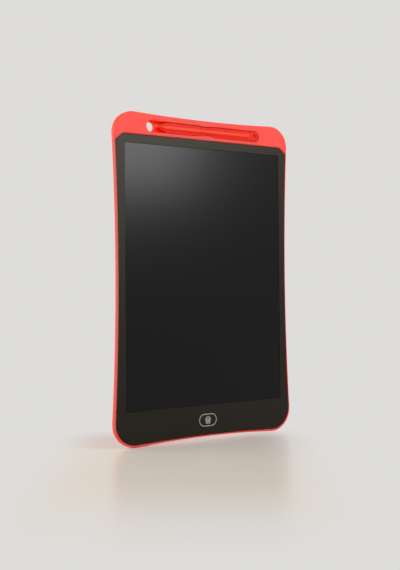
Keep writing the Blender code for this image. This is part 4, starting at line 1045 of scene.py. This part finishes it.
def print_finish(name, colour):
    """Screen-printed ink with a thin, slightly uneven cover."""
    n = Nodes(bpy.data.materials.new(name))
    place = n.place()
    n.tint(colour, n.spread(n.noise(place, scale=900, detail=4), 0.88, 1.06))
    n.bump(n.noise(place, scale=5000, detail=2), 0.000004)
    n.shade(Roughness=n.spread(n.noise(place, scale=500, detail=2), 0.36, 0.48))
    return n.owner


def metal(name, colour, roughness):
    """Plated or plain metal with fine drawn lines and dull spots."""
    n = Nodes(bpy.data.materials.new(name))
    place = n.place()
    lines = n.noise(n.stretched(place, across=900, along=40, deep=900), 1, detail=4)
    spots = n.noise(place, scale=700)
    n.tint(colour, n.spread(spots, 0.88, 1.05))
    n.bump(lines, 0.000003)
    gloss = n.plus(n.spread(lines, roughness * 0.8, roughness * 1.2), n.spread(spots, -0.04, 0.04))
    n.shade(Roughness=gloss, Metallic=1)
    return n.owner


def foam_finish():
    n = Nodes(bpy.data.materials.new("open_foam"))
    cells = n.add("ShaderNodeTexVoronoi", Scale=1600)
    n.link(n.place(), cells.inputs["Vector"])
    n.tint((0.10, 0.10, 0.11), n.spread(cells.outputs["Distance"], 1.15, 0.6))
    n.bump(cells.outputs["Distance"], 0.0002)
    n.shade(Roughness=0.92)
    return n.owner


def board_finish():
    """Green solder resist over copper tracks that run up and down the board."""
    n = Nodes(bpy.data.materials.new("board_laminate"))
    place = n.place()
    tracks = n.add("ShaderNodeTexBrick", Scale=260, Mortar_Size=0.06)
    turned = n.add("ShaderNodeMapping", Rotation=(math.pi / 2, 0, 0))
    n.link(place, turned.inputs["Vector"])
    n.link(turned.outputs["Vector"], tracks.inputs["Vector"])
    n.tint((0.02, 0.15, 0.06), n.spread(tracks.outputs["Fac"], 1.35, 0.85))
    n.bump(n.spread(tracks.outputs["Fac"], 1, 0), 0.00003)
    n.shade(Roughness=n.spread(n.noise(place, scale=300), 0.3, 0.42))
    return n.owner


# Stage, lights and world. The floor's paper shows in a patch round the tablet, whose edges fade between
# two distances in metres, measured along the photograph's line of sight and across it. The paper's beige tint
# there, darker than the backdrop, is partly painted shade, and the backdrop's glow left in the patch is
# painted light that lightens its shadows.

BACKDROP = (0.7305, 0.7230, 0.7084)
WORLD_TINT = (1.0, 0.99, 0.975)
WORLD_LIGHT = 0.53
# The paper's beige tint, darker than the backdrop, is partly painted shade over the paper's own pale colour.
FLOOR_PAPER_AND_SHADE_TINT = (0.79, 0.675, 0.55)
FLOOR_ROUGHNESS = 0.27
FLOOR_REACH = 30
SIGHT_COSINE = 0.827
SIGHT_SINE = 0.562
PATCH_SHIFT = 0.017
PATCH_SIDES = (0.055, 0.112)
PATCH_BEHIND = (-0.005, 0.055)
PATCH_BEFORE = (0.14, 0.34)
# The share of paper in the patch; the rest is the backdrop's glow, painted light that lightens the patch's
# shadows.
PATCH_STRENGTH = 0.72
# Name, place, target, width and height, and radiance of each soft panel.
PANELS = (("key_panel", (0.655, -1.32, 0.852), (0, 0, 0.18), (0.40, 1.04), 11.1),
          ("left_panel", (-1.1, 0.85, 0.4), (0, 0, 0.13), (0.9, 0.9), 5),
          ("fill_panel", (-1.2, -1.1, 0.5), (0, 0, 0.13), (0.8, 0.8), 1.2))


def make_floor():
    """Pale satin paper, which turns into the backdrop's own colour away from the tablet. Its beige tint is
    partly painted shade, and the share of the backdrop's glow kept in the patch is painted light on its
    shadows.
    """
    n = Nodes(bpy.data.materials.new("floor_paper_painted_shade"))
    place = n.add("ShaderNodeNewGeometry").outputs["Position"]
    n.tint(FLOOR_PAPER_AND_SHADE_TINT, n.spread(n.noise(place, scale=9), 0.99, 1.01))
    n.shade(Roughness=FLOOR_ROUGHNESS)
    spot = n.split(place)
    sideways = n.plus(n.times(spot["X"], SIGHT_COSINE), n.times(spot["Y"], -SIGHT_SINE))
    away = n.plus(n.times(spot["X"], SIGHT_SINE), n.times(spot["Y"], SIGHT_COSINE))
    across = n.calculate("ABSOLUTE", n.plus(sideways, PATCH_SHIFT))
    kept = n.times(n.fade(across, *PATCH_SIDES), n.fade(away, *PATCH_BEHIND))
    kept = n.times(kept, n.fade(n.times(away, -1), *PATCH_BEFORE))
    kept = n.times(kept, PATCH_STRENGTH)
    rays = n.add("ShaderNodeLightPath").outputs
    seen = n.calculate("MAXIMUM", rays["Is Camera Ray"], rays["Is Glossy Ray"])
    glow = n.add("ShaderNodeEmission", Color=(*BACKDROP, 1))
    n.show(n.times(n.plus(n.times(kept, -1), 1), seen), n.shader, glow, "Material Output")
    bm = bmesh.new()
    bmesh.ops.create_grid(bm, x_segments=1, y_segments=1, size=FLOOR_REACH)
    mesh = bpy.data.meshes.new("floor")
    bm.to_mesh(mesh)
    bm.free()
    mesh.materials.append(n.owner)
    floor = bpy.data.objects.new("floor", mesh)
    bpy.context.scene.collection.objects.link(floor)
    return floor


def make_world():
    """A pale room: the backdrop's colour for the camera and in reflections, softer as a light."""
    world = bpy.data.worlds.new("pale_room")
    bpy.context.scene.world = world
    n = Nodes(world, "Background")
    n.shade(Color=(*WORLD_TINT, 1), Strength=WORLD_LIGHT)
    shown = n.add("ShaderNodeBackground", Color=(*BACKDROP, 1))
    rays = n.add("ShaderNodeLightPath").outputs
    seen = n.calculate("MAXIMUM", rays["Is Camera Ray"], rays["Is Glossy Ray"])
    seen = n.calculate("MAXIMUM", seen, rays["Is Transmission Ray"])
    n.show(seen, n.shader, shown, "World Output")


def area_light(floor, name, place, target, size, radiance):
    """A soft panel, with a twin that lights the floor alone.

    The twin casts light and shadow but no reflection, so that no view shows a glare on the floor.
    """
    data = bpy.data.lights.new(name, "AREA")
    data.shape = "RECTANGLE"
    data.size, data.size_y = size
    data.energy = radiance * math.pi * size[0] * size[1]
    for part, state in (("tablet", "EXCLUDE"), ("floor", "INCLUDE")):
        lamp = bpy.data.objects.new(name + "_" + part, data)
        lamp.location = place
        lamp.rotation_euler = (Vector(target) - Vector(place)).to_track_quat("-Z", "Y").to_euler()
        lamp.visible_glossy = part == "tablet"
        bpy.context.scene.collection.objects.link(lamp)
        lit = bpy.data.collections.new(name + "_on_" + part)
        lit.objects.link(floor)
        lit.collection_objects[0].light_linking.link_state = state
        lamp.light_linking.receiver_collection = lit


def dress_inner_nodes(steel, nickel):
    """Finishes for the CAD nodes that stay: the film stack, the board and what stands on it."""
    tape = print_finish("adhesive_tape", (0.75, 0.74, 0.70))
    copper = metal("contact_copper", (0.72, 0.38, 0.24), 0.34)
    black = plastic("black_moulding", (0.012, 0.012, 0.012), 0.45, wear=0.3)
    finishes = {
        "film_backing": plastic("backing_sheet", (0.01, 0.01, 0.01), 0.6),
        "foam_pad": foam_finish(),
        "bezel_tape": tape, "film_tape": tape,
        "film_contact_left": copper, "film_contact_right": copper,
        "circuit_board": board_finish(),
        "driver_chip": plastic("chip_epoxy", (0.01, 0.01, 0.01), 0.28, grain=0.00001, grain_scale=900),
        "boost_inductor": plastic("ferrite", (0.09, 0.09, 0.10), 0.5, grain=0.00002),
        "storage_capacitor": plastic("capacitor_ceramic", (0.45, 0.28, 0.13), 0.5),
        "erase_switch_body": nickel, "lock_switch_body": nickel,
        "erase_switch_plunger": black, "lock_switch_lever": black,
        "battery_contact_positive": nickel, "battery_contact_negative": nickel,
        "board_screw_left": steel, "board_screw_right": steel,
    }
    for name, finish in finishes.items():
        mesh = nodes[name].data
        mesh.materials.clear()
        mesh.materials.append(finish)


def main():
    bpy.context.scene.view_settings.view_transform = "Standard"
    make_camera()
    floor = make_floor()
    make_world()
    for panel in PANELS:
        area_light(floor, *panel)
    # The shell's deep colour in the trough is painted shade and glow.
    coral = plastic("coral_shell_plastic", CORAL, 0.58, glow=1, deep=CORAL_TROUGH_SHADE_AND_GLOW)
    steel = metal("screw_steel", (0.55, 0.55, 0.56), 0.32)
    nickel = metal("nickel_plate", (0.62, 0.61, 0.58), 0.24)
    ink = print_finish("silver_ink", (0.25, 0.243, 0.225))
    make_shell(coral)
    make_bezel(plastic("bezel_plastic", grain=0.000012, mottle=0.06, **BEZEL_LOOK))
    make_film(film_finish())
    make_erase_cap(plastic("button_plastic", **BEZEL_LOOK))
    make_erase_ring(ink)
    make_bin_print(ink)
    # The stylus's paler crest in front is a painted highlight.
    make_stylus(plastic("stylus_plastic", STYLUS_CREST_HIGHLIGHT_RED, 0.32, grain=0.000001, wear=0, specular=0.1, glow=1,
                        deep=STYLUS_RED_DEEP))
    make_door(coral, steel)
    make_cell(nickel)
    make_lock_slider(plastic("slider_plastic", (0.020, 0.0185, 0.0155), 0.45, wear=0.25))
    dress_inner_nodes(steel, nickel)


main()
